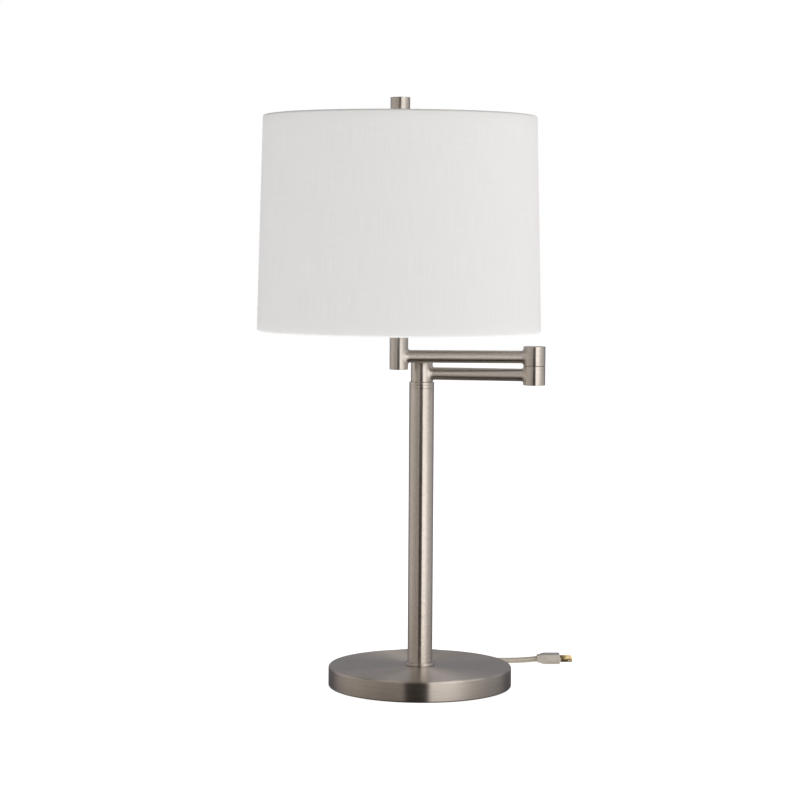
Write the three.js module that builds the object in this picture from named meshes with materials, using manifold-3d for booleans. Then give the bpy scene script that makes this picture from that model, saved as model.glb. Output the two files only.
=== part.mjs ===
// Swing-arm table lamp: a weighted disc base, a pole, two swinging arms, a stem with a lamp holder and harp,
// and a drum shade. Millimetres, +Z up. The origin is on the pole's axis, on the plane the lamp stands on.

import * as THREE from "three";
import { mergeVertices } from "three/addons/utils/BufferGeometryUtils.js";
import Module from "manifold-3d";

const wasm = await Module();
wasm.setup();

// ---------------------------------------------------------------- driving dimensions

// Facets round a full turn
const WIDE_FACETS = 56; // base and shade
const RING_FACETS = 40; // the shade's ring wires
const HUB_FACETS = 20; // pole, hubs, stem and finial
const SMALL_FACETS = 16;
const FINE_FACETS = 12; // holes and short necks

const GAP = 0.3; // between pieces that touch
const TURN_GAP = 0.4; // between the two faces of a swivel

// Base
const BASE_RADIUS = 107.3;
const BASE_HEIGHT = 25;
const BASE_EDGE = 3; // rounding of the cover's top and bottom edges
const COVER_WALL = 1.4;
const COVER_LIP = 0.4; // height of the cover's turned-in lip above the table
const PAD_RADIUS = 101;
const PAD_THICKNESS = 1.8;
const WEIGHT_RADIUS = 96;
const WEIGHT_BOTTOM = 2.8;
const WEIGHT_TOP = 18;
const WEIGHT_RECESS_RADIUS = 24;
const WEIGHT_RECESS_TOP = 12;
const WEIGHT_BORE = 7;

// Pole
const POLE_RADIUS = 14.5;
const POLE_WALL = 1.2;
const POLE_TOP = 357.9;
const POLE_CAP_HEIGHT = 6.7;
const FOOT_RING_RADIUS = 17.5;
const FOOT_RING_HEIGHT = 3.6;

// Hollow threaded rod, its nuts and its holes
const ROD_RADIUS = 4.8;
const ROD_BORE = 3.2;
const ROD_HOLE = 5.2;
const ROD_BOTTOM = 5.8;
const NUT_RADIUS = 8; // across the corners
const NUT_HEIGHT = 4;

// Knuckles: the hubs at both ends of the arms
const HUB_RADIUS = 12.7;
const HUB_BORE = 10.4;
const HUB_HEIGHT = 22.1;
const HUB_WEB = 3.5;
const HUB_CAP_THICKNESS = 1.8;
const HUB_CAP_RADIUS = HUB_BORE - GAP;
const FLARE = 3.2; // fillet between an arm's tube and its hubs
const WASHER_RECESS = 1;

// Arms
const TUBE_RADIUS = 7.3;
const TUBE_BORE = 5.8;
const LOWER_ARM_LENGTH = 132;
const LOWER_ARM_DIRECTION = THREE.MathUtils.degToRad(-10.8);
const UPPER_ARM_LENGTH = 156.5;
const UPPER_ARM_DIRECTION = THREE.MathUtils.degToRad(179.3);
const ELBOW_SEAM = 378.65; // height of the parting line between the elbow's two hubs
const LOWER_TUBE_HEIGHT = 367.95;
const UPPER_TUBE_HEIGHT = 388.85;

// Stem
const STEM_RADIUS = 10.7;
const STEM_BORE = 9.2;
const STEM_BOTTOM = 373.5;
const STEM_TOP = 438;
const NECK_HEIGHT = 5;

// Lamp holder and bulb
const SOCKET_RADIUS = 18.5;
const SHAFT_HOLE = 2.6; // for the switch's shaft
const BULB_RADIUS = 30;

// Harp
const HARP_WIRE = 2;
const HARP_FOOT_HALF_WIDTH = 31;
const HARP_HALF_WIDTH = 54;
const HARP_TOP = 655;
const SADDLE_THICKNESS = 1.6;
const SADDLE_WIDTH = 4;
const PRONG_HEIGHT = 13;
const PRONG_HALF_THICKNESS = 0.6;
const STUD_RADIUS = 3;
const STUD_HEIGHT = 19;

// Shade
const SHADE_BOTTOM = 417.2;
const SHADE_TOP = 664.8;
const SHADE_BOTTOM_RADIUS = 163.8;
const SHADE_TOP_RADIUS = 157.4;
const SHADE_WALL = 1;
const RING_WIRE = 1.6;
const SPIDER_WIRE = 1.8;
const FINIAL_RADIUS = 11.3;
const FINIAL_TOP = 686;

// Cord: flat twin cord on edge, wound as a flat coil behind the base
const CORD_WIDTH = 7;
const CORD_THICKNESS = 3.1;
const CORD_EXIT_ANGLE = THREE.MathUtils.degToRad(81);
const CORD_EXIT_HEIGHT = 13.6;
const RELIEF_LENGTH = 25;
const COIL_CENTRE = new THREE.Vector2(-3, 158.6);
const COIL_INNER = 27;
const COIL_PITCH = 3.15;
const COIL_TURNS = 6.853;
const COIL_LIFT = 0.8; // the coil's underside above the table

// Plug
const PLUG_START = 146.3;
const PLUG_LENGTH = 28;
const PLUG_HALF_WIDTH = 9.5;
const PLUG_HALF_HEIGHT = 5.8;
const PLUG_HEIGHT = 6.1; // of its middle
const PLUG_Y = 152.3;
const BLADE_LENGTH = 17.3;
const BLADE_THICKNESS = 1.5;
const BLADE_WIDTH = 6.3;
const BLADE_SPACING = 12.7;

// ---------------------------------------------------------------- materials

function finish(color, roughness, metalness) {
  return () => new THREE.MeshStandardMaterial({ color, roughness, metalness });
}

const brushedNickel = finish(0xa89c90, 0.32, 1);
const plainSteel = finish(0x9a9a98, 0.4, 1);
const castIron = finish(0x35322f, 0.85, 0.6);
const brass = finish(0xb08d4a, 0.3, 1);
const felt = finish(0x1e1e1e, 0.95, 0);
const nylon = finish(0xe6e2d8, 0.6, 0);
const paper = finish(0xcfc3a6, 0.9, 0);
const phenolic = finish(0x1c1a19, 0.45, 0);
const clearPlastic = finish(0xbdb4a6, 0.3, 0);
const shadeCloth = finish(0xf2f0ec, 0.9, 0);
const frostedGlass = finish(0xf7f4ea, 0.5, 0);

// ---------------------------------------------------------------- shape helpers

const lamp = new THREE.Group();

function addPart(group, name, geometry, makeMaterial) {
  const mesh = new THREE.Mesh(geometry, makeMaterial());
  mesh.name = name;
  group.add(mesh);
  return mesh;
}

// A solid of revolution about Z. The outline is a list of [radius, height] that runs up its outer side.
function turned(outline, segments = SMALL_FACETS) {
  const points = outline.map(([radius, height]) => new THREE.Vector2(radius, height));
  return new THREE.LatheGeometry(points, segments).rotateX(Math.PI / 2);
}

// A ring or tube: a rectangle turned about Z.
function sleeve(inner, outer, bottom, top, segments = SMALL_FACETS) {
  return turned([[inner, bottom], [outer, bottom], [outer, top], [inner, top], [inner, bottom]], segments);
}

function disc(radius, bottom, top, edge = 0.3, segments = SMALL_FACETS) {
  return turned([
    [0, bottom], [radius - edge, bottom], [radius, bottom + edge],
    [radius, top - edge], [radius - edge, top], [0, top],
  ], segments);
}

// Points on an arc, from one angle to another in degrees, about [radius, height].
function arc(centreRadius, centreHeight, radius, from, to, steps) {
  return Array.from({ length: steps + 1 }, (_, i) => {
    const angle = THREE.MathUtils.degToRad(from + ((to - from) * i) / steps);
    return [centreRadius + radius * Math.cos(angle), centreHeight + radius * Math.sin(angle)];
  });
}

// Turns a shape made about Z so that its axis lies along +X.
function layAlongX(geometry) {
  return geometry.rotateY(Math.PI / 2);
}

// A round rod along a smooth curve through the points.
function roundRod(radius, points, sides = 8, steps = 24) {
  const path = new THREE.CatmullRomCurve3(points.map((p) => new THREE.Vector3(...p)));
  const section = new THREE.Shape();
  section.absarc(0, 0, radius, 0, 2 * Math.PI, false);
  return new THREE.ExtrudeGeometry(section, { extrudePath: path, steps, curveSegments: sides / 2 });
}

function extruded(shape, bottom, top, curveSegments = 6) {
  return new THREE.ExtrudeGeometry(shape, { depth: top - bottom, bevelEnabled: false, curveSegments })
    .translate(0, 0, bottom);
}

function hexNut(bottom, top) {
  const outline = new THREE.Shape(Array.from({ length: 6 }, (_, i) => {
    const angle = (i * Math.PI) / 3;
    return new THREE.Vector2(NUT_RADIUS * Math.cos(angle), NUT_RADIUS * Math.sin(angle));
  }));
  outline.holes.push(new THREE.Path().absarc(0, 0, ROD_HOLE, 0, 2 * Math.PI, true));
  return extruded(outline, bottom, top);
}

function toSolid(geometry) {
  const bare = geometry.clone();
  bare.deleteAttribute("normal");
  bare.deleteAttribute("uv");
  const merged = mergeVertices(bare, 1e-4);
  return new wasm.Manifold(new wasm.Mesh({
    numProp: 3,
    vertProperties: new Float32Array(merged.attributes.position.array),
    triVerts: new Uint32Array(merged.index.array),
  }));
}

function toGeometry(solid) {
  const mesh = solid.getMesh();
  const geometry = new THREE.BufferGeometry();
  geometry.setAttribute("position", new THREE.BufferAttribute(mesh.vertProperties, 3));
  geometry.setIndex(new THREE.BufferAttribute(mesh.triVerts, 1));
  return geometry;
}

function joined(...geometries) {
  return toGeometry(geometries.map(toSolid).reduce((all, next) => all.add(next)));
}

function cut(geometry, ...tools) {
  return toGeometry(tools.map(toSolid).reduce((rest, tool) => rest.subtract(tool), toSolid(geometry)));
}

// ---------------------------------------------------------------- base

const exitDirection = new THREE.Vector2(Math.cos(CORD_EXIT_ANGLE), Math.sin(CORD_EXIT_ANGLE));

// A point on the line along which the cord leaves the base, at a distance from the pole's axis.
function onExitLine(distance, height) {
  return [distance * exitDirection.x, distance * exitDirection.y, height];
}

// Moves a shape made along +X onto the exit line, at the exit's height.
function alongExitLine(geometry, height = CORD_EXIT_HEIGHT) {
  return geometry.rotateZ(CORD_EXIT_ANGLE).translate(0, 0, height);
}

function baseCover() {
  const inner = BASE_RADIUS - COVER_WALL;
  const underTop = BASE_HEIGHT - COVER_WALL;
  const edge = BASE_RADIUS - BASE_EDGE;
  const shell = turned([
    [edge, COVER_LIP],
    ...arc(edge, COVER_LIP + BASE_EDGE, BASE_EDGE, -60, 0, 1),
    ...arc(edge, BASE_HEIGHT - BASE_EDGE, BASE_EDGE, 0, 90, 2),
    [ROD_HOLE, BASE_HEIGHT],
    [ROD_HOLE, underTop],
    [inner, underTop],
    [inner, COVER_LIP + BASE_EDGE],
    [edge, COVER_LIP + COVER_WALL],
    [edge, COVER_LIP],
  ], WIDE_FACETS);
  const cordHole = layAlongX(disc(5.2, BASE_RADIUS - 8, BASE_RADIUS + 4, 0.1, FINE_FACETS));
  return cut(shell, alongExitLine(cordHole));
}

function baseWeight() {
  const bossTop = BASE_HEIGHT - COVER_WALL - GAP;
  const body = turned([
    [WEIGHT_RECESS_RADIUS, WEIGHT_BOTTOM],
    [WEIGHT_RADIUS - 1, WEIGHT_BOTTOM],
    [WEIGHT_RADIUS, WEIGHT_BOTTOM + 1],
    [WEIGHT_RADIUS, WEIGHT_TOP - 1],
    [WEIGHT_RADIUS - 1, WEIGHT_TOP],
    [26, WEIGHT_TOP],
    [22, bossTop],
    [WEIGHT_BORE, bossTop],
    [WEIGHT_BORE, WEIGHT_RECESS_TOP],
    [WEIGHT_RECESS_RADIUS, WEIGHT_RECESS_TOP],
    [WEIGHT_RECESS_RADIUS, WEIGHT_BOTTOM],
  ], 32);
  const channelLength = WEIGHT_RADIUS - WEIGHT_RECESS_RADIUS + 8;
  const channel = new THREE.BoxGeometry(channelLength, 9, 9)
    .translate(WEIGHT_RECESS_RADIUS - 4 + channelLength / 2, 0, 0);
  return cut(body, alongExitLine(channel, WEIGHT_BOTTOM + 3));
}

const rodTop = 368.5;
const washerBottom = WEIGHT_RECESS_TOP - GAP - 1.5;

addPart(lamp, "base_cover", baseCover(), brushedNickel);
addPart(lamp, "base_weight", baseWeight(), castIron);
addPart(lamp, "base_pad", disc(PAD_RADIUS, 0, PAD_THICKNESS, 0.3, 40), felt);
addPart(lamp, "base_washer", sleeve(ROD_HOLE, 15, washerBottom, washerBottom + 1.5), plainSteel);
addPart(lamp, "base_nut", hexNut(washerBottom - GAP - 3.6, washerBottom - GAP), plainSteel);
addPart(lamp, "tie_rod", sleeve(ROD_BORE, ROD_RADIUS, ROD_BOTTOM, rodTop, FINE_FACETS), plainSteel);

// ---------------------------------------------------------------- pole

function footRing() {
  const inner = POLE_RADIUS + GAP;
  const bottom = BASE_HEIGHT + GAP;
  const top = bottom + FOOT_RING_HEIGHT;
  const edge = 1.2;
  return turned([
    [inner, bottom],
    [FOOT_RING_RADIUS, bottom],
    ...arc(FOOT_RING_RADIUS - edge, top - edge, edge, 0, 90, 2),
    [inner, top],
    [inner, bottom],
  ], HUB_FACETS);
}

function poleCap() {
  const bottom = POLE_TOP - POLE_CAP_HEIGHT;
  const groove = (bottom + POLE_TOP) / 2;
  const recess = POLE_TOP - WASHER_RECESS;
  const spigot = POLE_RADIUS - POLE_WALL - GAP;
  return turned([
    [ROD_HOLE, bottom - 9],
    [spigot, bottom - 9],
    [spigot, bottom],
    [POLE_RADIUS, bottom],
    [POLE_RADIUS, groove - 0.4],
    [POLE_RADIUS - 0.5, groove],
    [POLE_RADIUS, groove + 0.4],
    [POLE_RADIUS, POLE_TOP - 0.4],
    [POLE_RADIUS - 0.4, POLE_TOP],
    [HUB_BORE, POLE_TOP],
    [HUB_BORE, recess],
    [ROD_HOLE, recess],
    [ROD_HOLE, bottom - 9],
  ], HUB_FACETS);
}

// A nylon washer in the recess of a swivel's lower face.
function swivelWasher(faceHeight) {
  const bottom = faceHeight - WASHER_RECESS + GAP;
  return sleeve(ROD_HOLE, HUB_BORE - GAP, bottom, faceHeight + TURN_GAP - GAP);
}

const poleBottom = BASE_HEIGHT + GAP;
const poleTubeTop = POLE_TOP - POLE_CAP_HEIGHT - GAP;

addPart(lamp, "foot_ring", footRing(), brushedNickel);
addPart(lamp, "pole_tube",
  sleeve(POLE_RADIUS - POLE_WALL, POLE_RADIUS, poleBottom, poleTubeTop, HUB_FACETS), brushedNickel);
addPart(lamp, "pole_cap", poleCap(), brushedNickel);
addPart(lamp, "pole_washer", swivelWasher(POLE_TOP), nylon);

// ---------------------------------------------------------------- knuckles and arms

// A hub with a web across it at one end, a recess for the swivel's washer if asked, and a flared neck towards
// +X (side 1) or -X (side -1) that an arm's tube meets.
function knuckle({ bottom, top, webAtTop, washerRecess, tubeHeight, side }) {
  const edge = 0.4;
  const webInner = webAtTop ? top - HUB_WEB : bottom + HUB_WEB;
  const recess = top - (washerRecess ? WASHER_RECESS : 0);
  const inside = webAtTop
    ? [
        ...(washerRecess ? [[HUB_BORE, top], [HUB_BORE, recess]] : []),
        [ROD_HOLE, recess],
        [ROD_HOLE, webInner],
        [HUB_BORE, webInner],
        [HUB_BORE, bottom],
      ]
    : [
        [HUB_BORE, top],
        [HUB_BORE, webInner],
        [ROD_HOLE, webInner],
        [ROD_HOLE, bottom],
      ];
  const start = webAtTop ? [HUB_BORE, bottom] : [ROD_HOLE, bottom];
  const hub = turned([
    start,
    [HUB_RADIUS - edge, bottom],
    [HUB_RADIUS, bottom + edge],
    [HUB_RADIUS, top - edge],
    [HUB_RADIUS - edge, top],
    ...inside,
  ], HUB_FACETS);
  const neckEnd = HUB_RADIUS + FLARE;
  const neckInner = HUB_RADIUS - 4;
  const neck = layAlongX(turned([
    [0, neckInner],
    [TUBE_RADIUS + FLARE * 0.8, neckInner],
    ...arc(TUBE_RADIUS + FLARE, neckEnd, FLARE, 255, 180, 2),
    [0, neckEnd],
  ], SMALL_FACETS));
  const bore = layAlongX(disc(TUBE_BORE, 0, neckEnd + 1, 0.1, FINE_FACETS));
  const [hollowBottom, hollowTop] = webAtTop ? [bottom - 1, webInner] : [webInner, top + 1];
  const hollow = disc(HUB_BORE, hollowBottom, hollowTop, 0.01, HUB_FACETS);
  const washerSeat = disc(HUB_BORE, top - WASHER_RECESS, top + 1, 0.01, HUB_FACETS);
  for (const shape of [neck, bore]) {
    shape.rotateZ(side > 0 ? 0 : Math.PI).translate(0, 0, tubeHeight);
  }
  return cut(joined(hub, neck), bore, hollow, ...(washerRecess ? [washerSeat] : []));
}

// An arm's tube along X between two hubs.
function armTube(firstRadius, length, secondRadius, height) {
  const from = firstRadius + FLARE + GAP;
  const to = length - secondRadius - FLARE - GAP;
  return layAlongX(sleeve(TUBE_BORE, TUBE_RADIUS, from, to)).translate(0, 0, height);
}

function atX(geometry, x) {
  return geometry.translate(x, 0, 0);
}

const poleHubBottom = POLE_TOP + TURN_GAP;
const poleHubTop = poleHubBottom + HUB_HEIGHT + 0.2;
const elbowLowerTop = ELBOW_SEAM - TURN_GAP / 2;
const elbowLowerBottom = elbowLowerTop - HUB_HEIGHT;
const elbowUpperBottom = ELBOW_SEAM + TURN_GAP / 2;
const elbowUpperTop = elbowUpperBottom + HUB_HEIGHT;

const poleNutBottom = poleHubBottom + HUB_WEB + GAP;
addPart(lamp, "pole_nut", hexNut(poleNutBottom, poleNutBottom + NUT_HEIGHT), plainSteel);

const lowerArm = new THREE.Group();
lowerArm.rotation.z = LOWER_ARM_DIRECTION;
lamp.add(lowerArm);

addPart(lowerArm, "pole_hub", knuckle({
  bottom: poleHubBottom, top: poleHubTop, webAtTop: false, washerRecess: false,
  tubeHeight: LOWER_TUBE_HEIGHT, side: 1,
}), brushedNickel);
addPart(lowerArm, "pole_hub_cap",
  disc(HUB_CAP_RADIUS, poleHubTop - HUB_CAP_THICKNESS, poleHubTop - 0.05), brushedNickel);
addPart(lowerArm, "lower_arm_tube",
  armTube(HUB_RADIUS, LOWER_ARM_LENGTH, HUB_RADIUS, LOWER_TUBE_HEIGHT), brushedNickel);
addPart(lowerArm, "lower_elbow_hub", atX(knuckle({
  bottom: elbowLowerBottom, top: elbowLowerTop, webAtTop: true, washerRecess: true,
  tubeHeight: LOWER_TUBE_HEIGHT, side: -1,
}), LOWER_ARM_LENGTH), brushedNickel);
addPart(lowerArm, "elbow_bottom_cap", atX(
  disc(HUB_CAP_RADIUS, elbowLowerBottom + 0.05, elbowLowerBottom + HUB_CAP_THICKNESS), LOWER_ARM_LENGTH,
), brushedNickel);
addPart(lowerArm, "elbow_washer", atX(swivelWasher(elbowLowerTop), LOWER_ARM_LENGTH), nylon);

const pinBottom = 366.2;
const pinTop = 388.2;
const lowerNutTop = elbowLowerTop - HUB_WEB - GAP;
const upperNutBottom = elbowUpperBottom + HUB_WEB + GAP;
addPart(lowerArm, "elbow_pin",
  atX(sleeve(ROD_BORE, ROD_RADIUS, pinBottom, pinTop, FINE_FACETS), LOWER_ARM_LENGTH), plainSteel);
addPart(lowerArm, "elbow_nut_lower",
  atX(hexNut(lowerNutTop - NUT_HEIGHT, lowerNutTop), LOWER_ARM_LENGTH), plainSteel);
addPart(lowerArm, "elbow_nut_upper",
  atX(hexNut(upperNutBottom, upperNutBottom + NUT_HEIGHT), LOWER_ARM_LENGTH), plainSteel);

// The upper arm's group turns about the elbow, and its +X points from the elbow to the stem.
const upperArm = new THREE.Group();
upperArm.position.set(
  LOWER_ARM_LENGTH * Math.cos(LOWER_ARM_DIRECTION),
  LOWER_ARM_LENGTH * Math.sin(LOWER_ARM_DIRECTION),
  0,
);
upperArm.rotation.z = UPPER_ARM_DIRECTION;
lamp.add(upperArm);

addPart(upperArm, "upper_elbow_hub", knuckle({
  bottom: elbowUpperBottom, top: elbowUpperTop, webAtTop: false, washerRecess: false,
  tubeHeight: UPPER_TUBE_HEIGHT, side: 1,
}), brushedNickel);
addPart(upperArm, "elbow_top_cap",
  disc(HUB_CAP_RADIUS, elbowUpperTop - HUB_CAP_THICKNESS, elbowUpperTop - 0.05), brushedNickel);
addPart(upperArm, "upper_arm_tube",
  armTube(HUB_RADIUS, UPPER_ARM_LENGTH, STEM_RADIUS, UPPER_TUBE_HEIGHT), brushedNickel);

// ---------------------------------------------------------------- stem

// Everything from here up stands on the stem's axis. The head's group has the world's X and Y directions.
const head = new THREE.Group();
head.position.set(
  upperArm.position.x + UPPER_ARM_LENGTH * Math.cos(UPPER_ARM_DIRECTION),
  upperArm.position.y + UPPER_ARM_LENGTH * Math.sin(UPPER_ARM_DIRECTION),
  0,
);
lamp.add(head);

function stemTube() {
  const tube = sleeve(STEM_BORE, STEM_RADIUS, STEM_BOTTOM, STEM_TOP, HUB_FACETS);
  const neckEnd = STEM_RADIUS + FLARE;
  const neckInner = STEM_RADIUS - 4;
  const neck = layAlongX(turned([
    [0, neckInner],
    [TUBE_RADIUS + FLARE * 0.7, neckInner],
    ...arc(TUBE_RADIUS + FLARE, neckEnd, FLARE, 250, 180, 2),
    [0, neckEnd],
  ], SMALL_FACETS));
  const bore = layAlongX(disc(TUBE_BORE, 0, neckEnd + 1, 0.1, FINE_FACETS));
  for (const shape of [neck, bore]) {
    shape.rotateZ(UPPER_ARM_DIRECTION + Math.PI).translate(0, 0, UPPER_TUBE_HEIGHT);
  }
  const hollow = disc(STEM_BORE, STEM_BOTTOM - 1, STEM_TOP + 1, 0.01, HUB_FACETS);
  return cut(joined(tube, neck), bore, hollow);
}

const neckBottom = STEM_TOP + GAP;
const neckTop = neckBottom + NECK_HEIGHT;

function neckCap() {
  const spigot = STEM_BORE - GAP;
  return turned([
    [ROD_HOLE, neckBottom - 8],
    [spigot, neckBottom - 8],
    [spigot, neckBottom],
    [STEM_RADIUS, neckBottom],
    [STEM_RADIUS, neckTop - 1],
    [STEM_RADIUS - 1, neckTop],
    [ROD_HOLE, neckTop],
    [ROD_HOLE, neckBottom - 8],
  ]);
}

const socketBottom = neckTop + GAP + SADDLE_THICKNESS + GAP;

addPart(head, "stem_tube", stemTube(), brushedNickel);
addPart(head, "stem_bottom_cap", disc(STEM_BORE - GAP, STEM_BOTTOM + 0.05, STEM_BOTTOM + 2), brushedNickel);
addPart(head, "stem_neck", neckCap(), brushedNickel);
addPart(head, "socket_nipple",
  sleeve(ROD_BORE, ROD_RADIUS, neckBottom - 10, socketBottom + 8, FINE_FACETS), plainSteel);

// ---------------------------------------------------------------- harp

const saddleBottom = neckTop + GAP;
const prongBottom = saddleBottom + 9;
const prongTop = prongBottom + PRONG_HEIGHT;
const prongX = HARP_FOOT_HALF_WIDTH - HARP_WIRE - GAP - PRONG_HALF_THICKNESS;

// A strip of sheet metal bent like a shallow U, with an upright prong at each end and a hole for the nipple.
function harpSaddle() {
  const strip = new THREE.Shape();
  const outerX = prongX + PRONG_HALF_THICKNESS;
  const innerX = prongX - PRONG_HALF_THICKNESS;
  const plateTop = saddleBottom + SADDLE_THICKNESS;
  const outer = [
    [outerX, prongTop], [outerX, prongBottom - 0.5], [16.5, saddleBottom],
    [-16.5, saddleBottom], [-outerX, prongBottom - 0.5], [-outerX, prongTop],
  ];
  const inner = [
    [-innerX, prongTop], [-innerX, prongBottom + 0.4], [-15.5, plateTop],
    [15.5, plateTop], [innerX, prongBottom + 0.4], [innerX, prongTop],
  ];
  strip.setFromPoints([...outer, ...inner].map(([x, z]) => new THREE.Vector2(x, z)));
  const bar = extruded(strip, -SADDLE_WIDTH / 2, SADDLE_WIDTH / 2).rotateX(Math.PI / 2);
  const plate = disc(11, saddleBottom, plateTop, 0.2);
  const hole = disc(ROD_HOLE, saddleBottom - 2, saddleBottom + 4, 0.1, FINE_FACETS);
  return cut(joined(bar, plate), hole);
}

// Half of the harp's outline, from the foot up to the middle of the top.
const harpHalf = [
  [HARP_FOOT_HALF_WIDTH, prongBottom + 1],
  [HARP_FOOT_HALF_WIDTH, prongBottom + 12],
  [HARP_FOOT_HALF_WIDTH, prongBottom + 24],
  [37, prongBottom + 42],
  [47, prongBottom + 66],
  [HARP_HALF_WIDTH - 1, prongBottom + 95],
  [HARP_HALF_WIDTH, prongBottom + 120],
  [50, HARP_TOP - 42],
  [39, HARP_TOP - 20],
  [24, HARP_TOP - 6],
  [11, HARP_TOP - 1],
];
const harpRoute = [
  ...harpHalf.map(([x, z]) => [-x, 0, z]),
  [0, 0, HARP_TOP],
  ...harpHalf.map(([x, z]) => [x, 0, z]).reverse(),
];

// The stud's foot clamps the middle of the wire, so the wire and the stud are one brazed piece.
function harp() {
  const wire = roundRod(HARP_WIRE, harpRoute, 6, 36);
  const stud = turned([
    [0, HARP_TOP - 3.2],
    [6.5, HARP_TOP - 3.2],
    [6.5, HARP_TOP + 2.6],
    [STUD_RADIUS, HARP_TOP + 3.2],
    [STUD_RADIUS, HARP_TOP + STUD_HEIGHT],
    [0, HARP_TOP + STUD_HEIGHT],
  ], FINE_FACETS);
  return joined(wire, stud);
}

function ferrule() {
  return turned([
    [3.7, prongBottom + 1.5],
    [5, prongBottom + 1.5],
    [5, prongBottom + 11],
    [4.4, prongBottom + 13.5],
    [3.7, prongBottom + 13.5],
    [3.7, prongBottom + 1.5],
  ], FINE_FACETS);
}

const ferruleX = HARP_FOOT_HALF_WIDTH - 0.9;

addPart(head, "harp_saddle", harpSaddle(), plainSteel);
addPart(head, "harp", harp(), brushedNickel);
addPart(head, "harp_ferrule_left", ferrule().translate(-ferruleX, 0, 0), brushedNickel);
addPart(head, "harp_ferrule_right", ferrule().translate(ferruleX, 0, 0), brushedNickel);

// ---------------------------------------------------------------- lamp holder, switch and bulb

const capTop = socketBottom + 15;
const shellTop = capTop + 44;
const knobHeight = capTop + 9;

function socketCap() {
  return turned([
    [ROD_HOLE, socketBottom],
    [9, socketBottom],
    [SOCKET_RADIUS - 3, socketBottom + 7],
    [SOCKET_RADIUS, capTop - 2],
    [SOCKET_RADIUS, capTop],
    [SOCKET_RADIUS - 1, capTop],
    [SOCKET_RADIUS - 1, capTop - 2],
    [SOCKET_RADIUS - 4, socketBottom + 8],
    [8.4, socketBottom + 1.2],
    [ROD_HOLE, socketBottom + 1.2],
    [ROD_HOLE, socketBottom],
  ]);
}

function socketShell() {
  const bottom = capTop + GAP;
  const shell = turned([
    [SOCKET_RADIUS - 1, bottom],
    [SOCKET_RADIUS, bottom],
    [SOCKET_RADIUS, bottom + 16],
    [SOCKET_RADIUS - 1.2, bottom + 18],
    [SOCKET_RADIUS - 1.2, shellTop - 1.5],
    [SOCKET_RADIUS - 0.4, shellTop],
    [SOCKET_RADIUS - 1.6, shellTop],
    [SOCKET_RADIUS - 2.2, shellTop - 1.5],
    [SOCKET_RADIUS - 2.2, bottom + 18],
    [SOCKET_RADIUS - 1, bottom + 16],
    [SOCKET_RADIUS - 1, bottom],
  ]);
  return cut(shell, disc(SHAFT_HOLE, SOCKET_RADIUS - 6, SOCKET_RADIUS + 3, 0.1, FINE_FACETS)
    .rotateX(Math.PI / 2).translate(0, 0, knobHeight));
}

const sleeveRadius = SOCKET_RADIUS - 2.2 - GAP;
const screwShellBottom = capTop + 22;
const bulbBottom = screwShellBottom + 2;

function holderBody() {
  const body = disc(sleeveRadius - 1.4, capTop + GAP, screwShellBottom - GAP, 0.4);
  const shaftHole = disc(SHAFT_HOLE, 3, SOCKET_RADIUS, 0.1, FINE_FACETS)
    .rotateX(Math.PI / 2).translate(0, 0, knobHeight);
  return cut(body, shaftHole);
}

const bulbNeck = bulbBottom + 26;

// A glass envelope, open at the end of its neck.
function bulbGlass() {
  const widest = bulbBottom + 78;
  const wall = 1.2;
  return turned([
    [12.2 - wall, bulbNeck],
    [12.2, bulbNeck],
    [14.5, bulbNeck + 9],
    [21, bulbNeck + 24],
    ...arc(0, widest, BULB_RADIUS, -40, 90, 6),
    ...arc(0, widest, BULB_RADIUS - wall, 90, -40, 6),
    [21 - wall, bulbNeck + 24],
    [14.5 - wall, bulbNeck + 9],
    [12.2 - wall, bulbNeck],
  ], HUB_FACETS);
}

// The bulb's screw base is a cup with a contact button at its bottom.
function bulbBase() {
  const top = bulbNeck - GAP;
  return turned([
    [0, bulbBottom],
    [4.5, bulbBottom],
    [8, bulbBottom + 3],
    [13.2, bulbBottom + 6],
    [13.2, top],
    [12.2, top],
    [12.2, bulbBottom + 7],
    [0, bulbBottom + 7],
  ]);
}

addPart(head, "socket_cap", socketCap(), brass);
addPart(head, "socket_shell", socketShell(), brass);
addPart(head, "socket_sleeve",
  sleeve(sleeveRadius - 0.9, sleeveRadius, screwShellBottom, shellTop + 2), paper);
addPart(head, "socket_body", holderBody(), phenolic);
addPart(head, "socket_screw_shell", sleeve(13.7, 14.6, screwShellBottom, shellTop - 3), brass);
addPart(head, "bulb_base", bulbBase(), plainSteel);
addPart(head, "bulb_glass", bulbGlass(), frostedGlass);

// The switch turns about an axis along -Y.
function alongSwitchAxis(geometry) {
  return geometry.rotateX(Math.PI / 2).translate(0, 0, knobHeight);
}

function switchKnob() {
  const grip = turned([
    [0, 24],
    [5.6, 24],
    [6.4, 25],
    [6.4, 31],
    [5.2, 33],
    [0, 33],
  ], FINE_FACETS);
  const shaft = disc(2, 5, 26, 0.2, FINE_FACETS);
  return alongSwitchAxis(joined(grip, shaft));
}

addPart(head, "switch_knob", switchKnob(), phenolic);

// ---------------------------------------------------------------- shade and finial

// The cloth's outer radius at a height.
function shadeRadius(height) {
  const share = (height - SHADE_BOTTOM) / (SHADE_TOP - SHADE_BOTTOM);
  return THREE.MathUtils.lerp(SHADE_BOTTOM_RADIUS, SHADE_TOP_RADIUS, share);
}

function shadeShell() {
  return turned([
    [SHADE_BOTTOM_RADIUS - SHADE_WALL, SHADE_BOTTOM],
    [SHADE_BOTTOM_RADIUS, SHADE_BOTTOM],
    [SHADE_TOP_RADIUS, SHADE_TOP],
    [SHADE_TOP_RADIUS - SHADE_WALL, SHADE_TOP],
    [SHADE_BOTTOM_RADIUS - SHADE_WALL, SHADE_BOTTOM],
  ], WIDE_FACETS);
}

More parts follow.
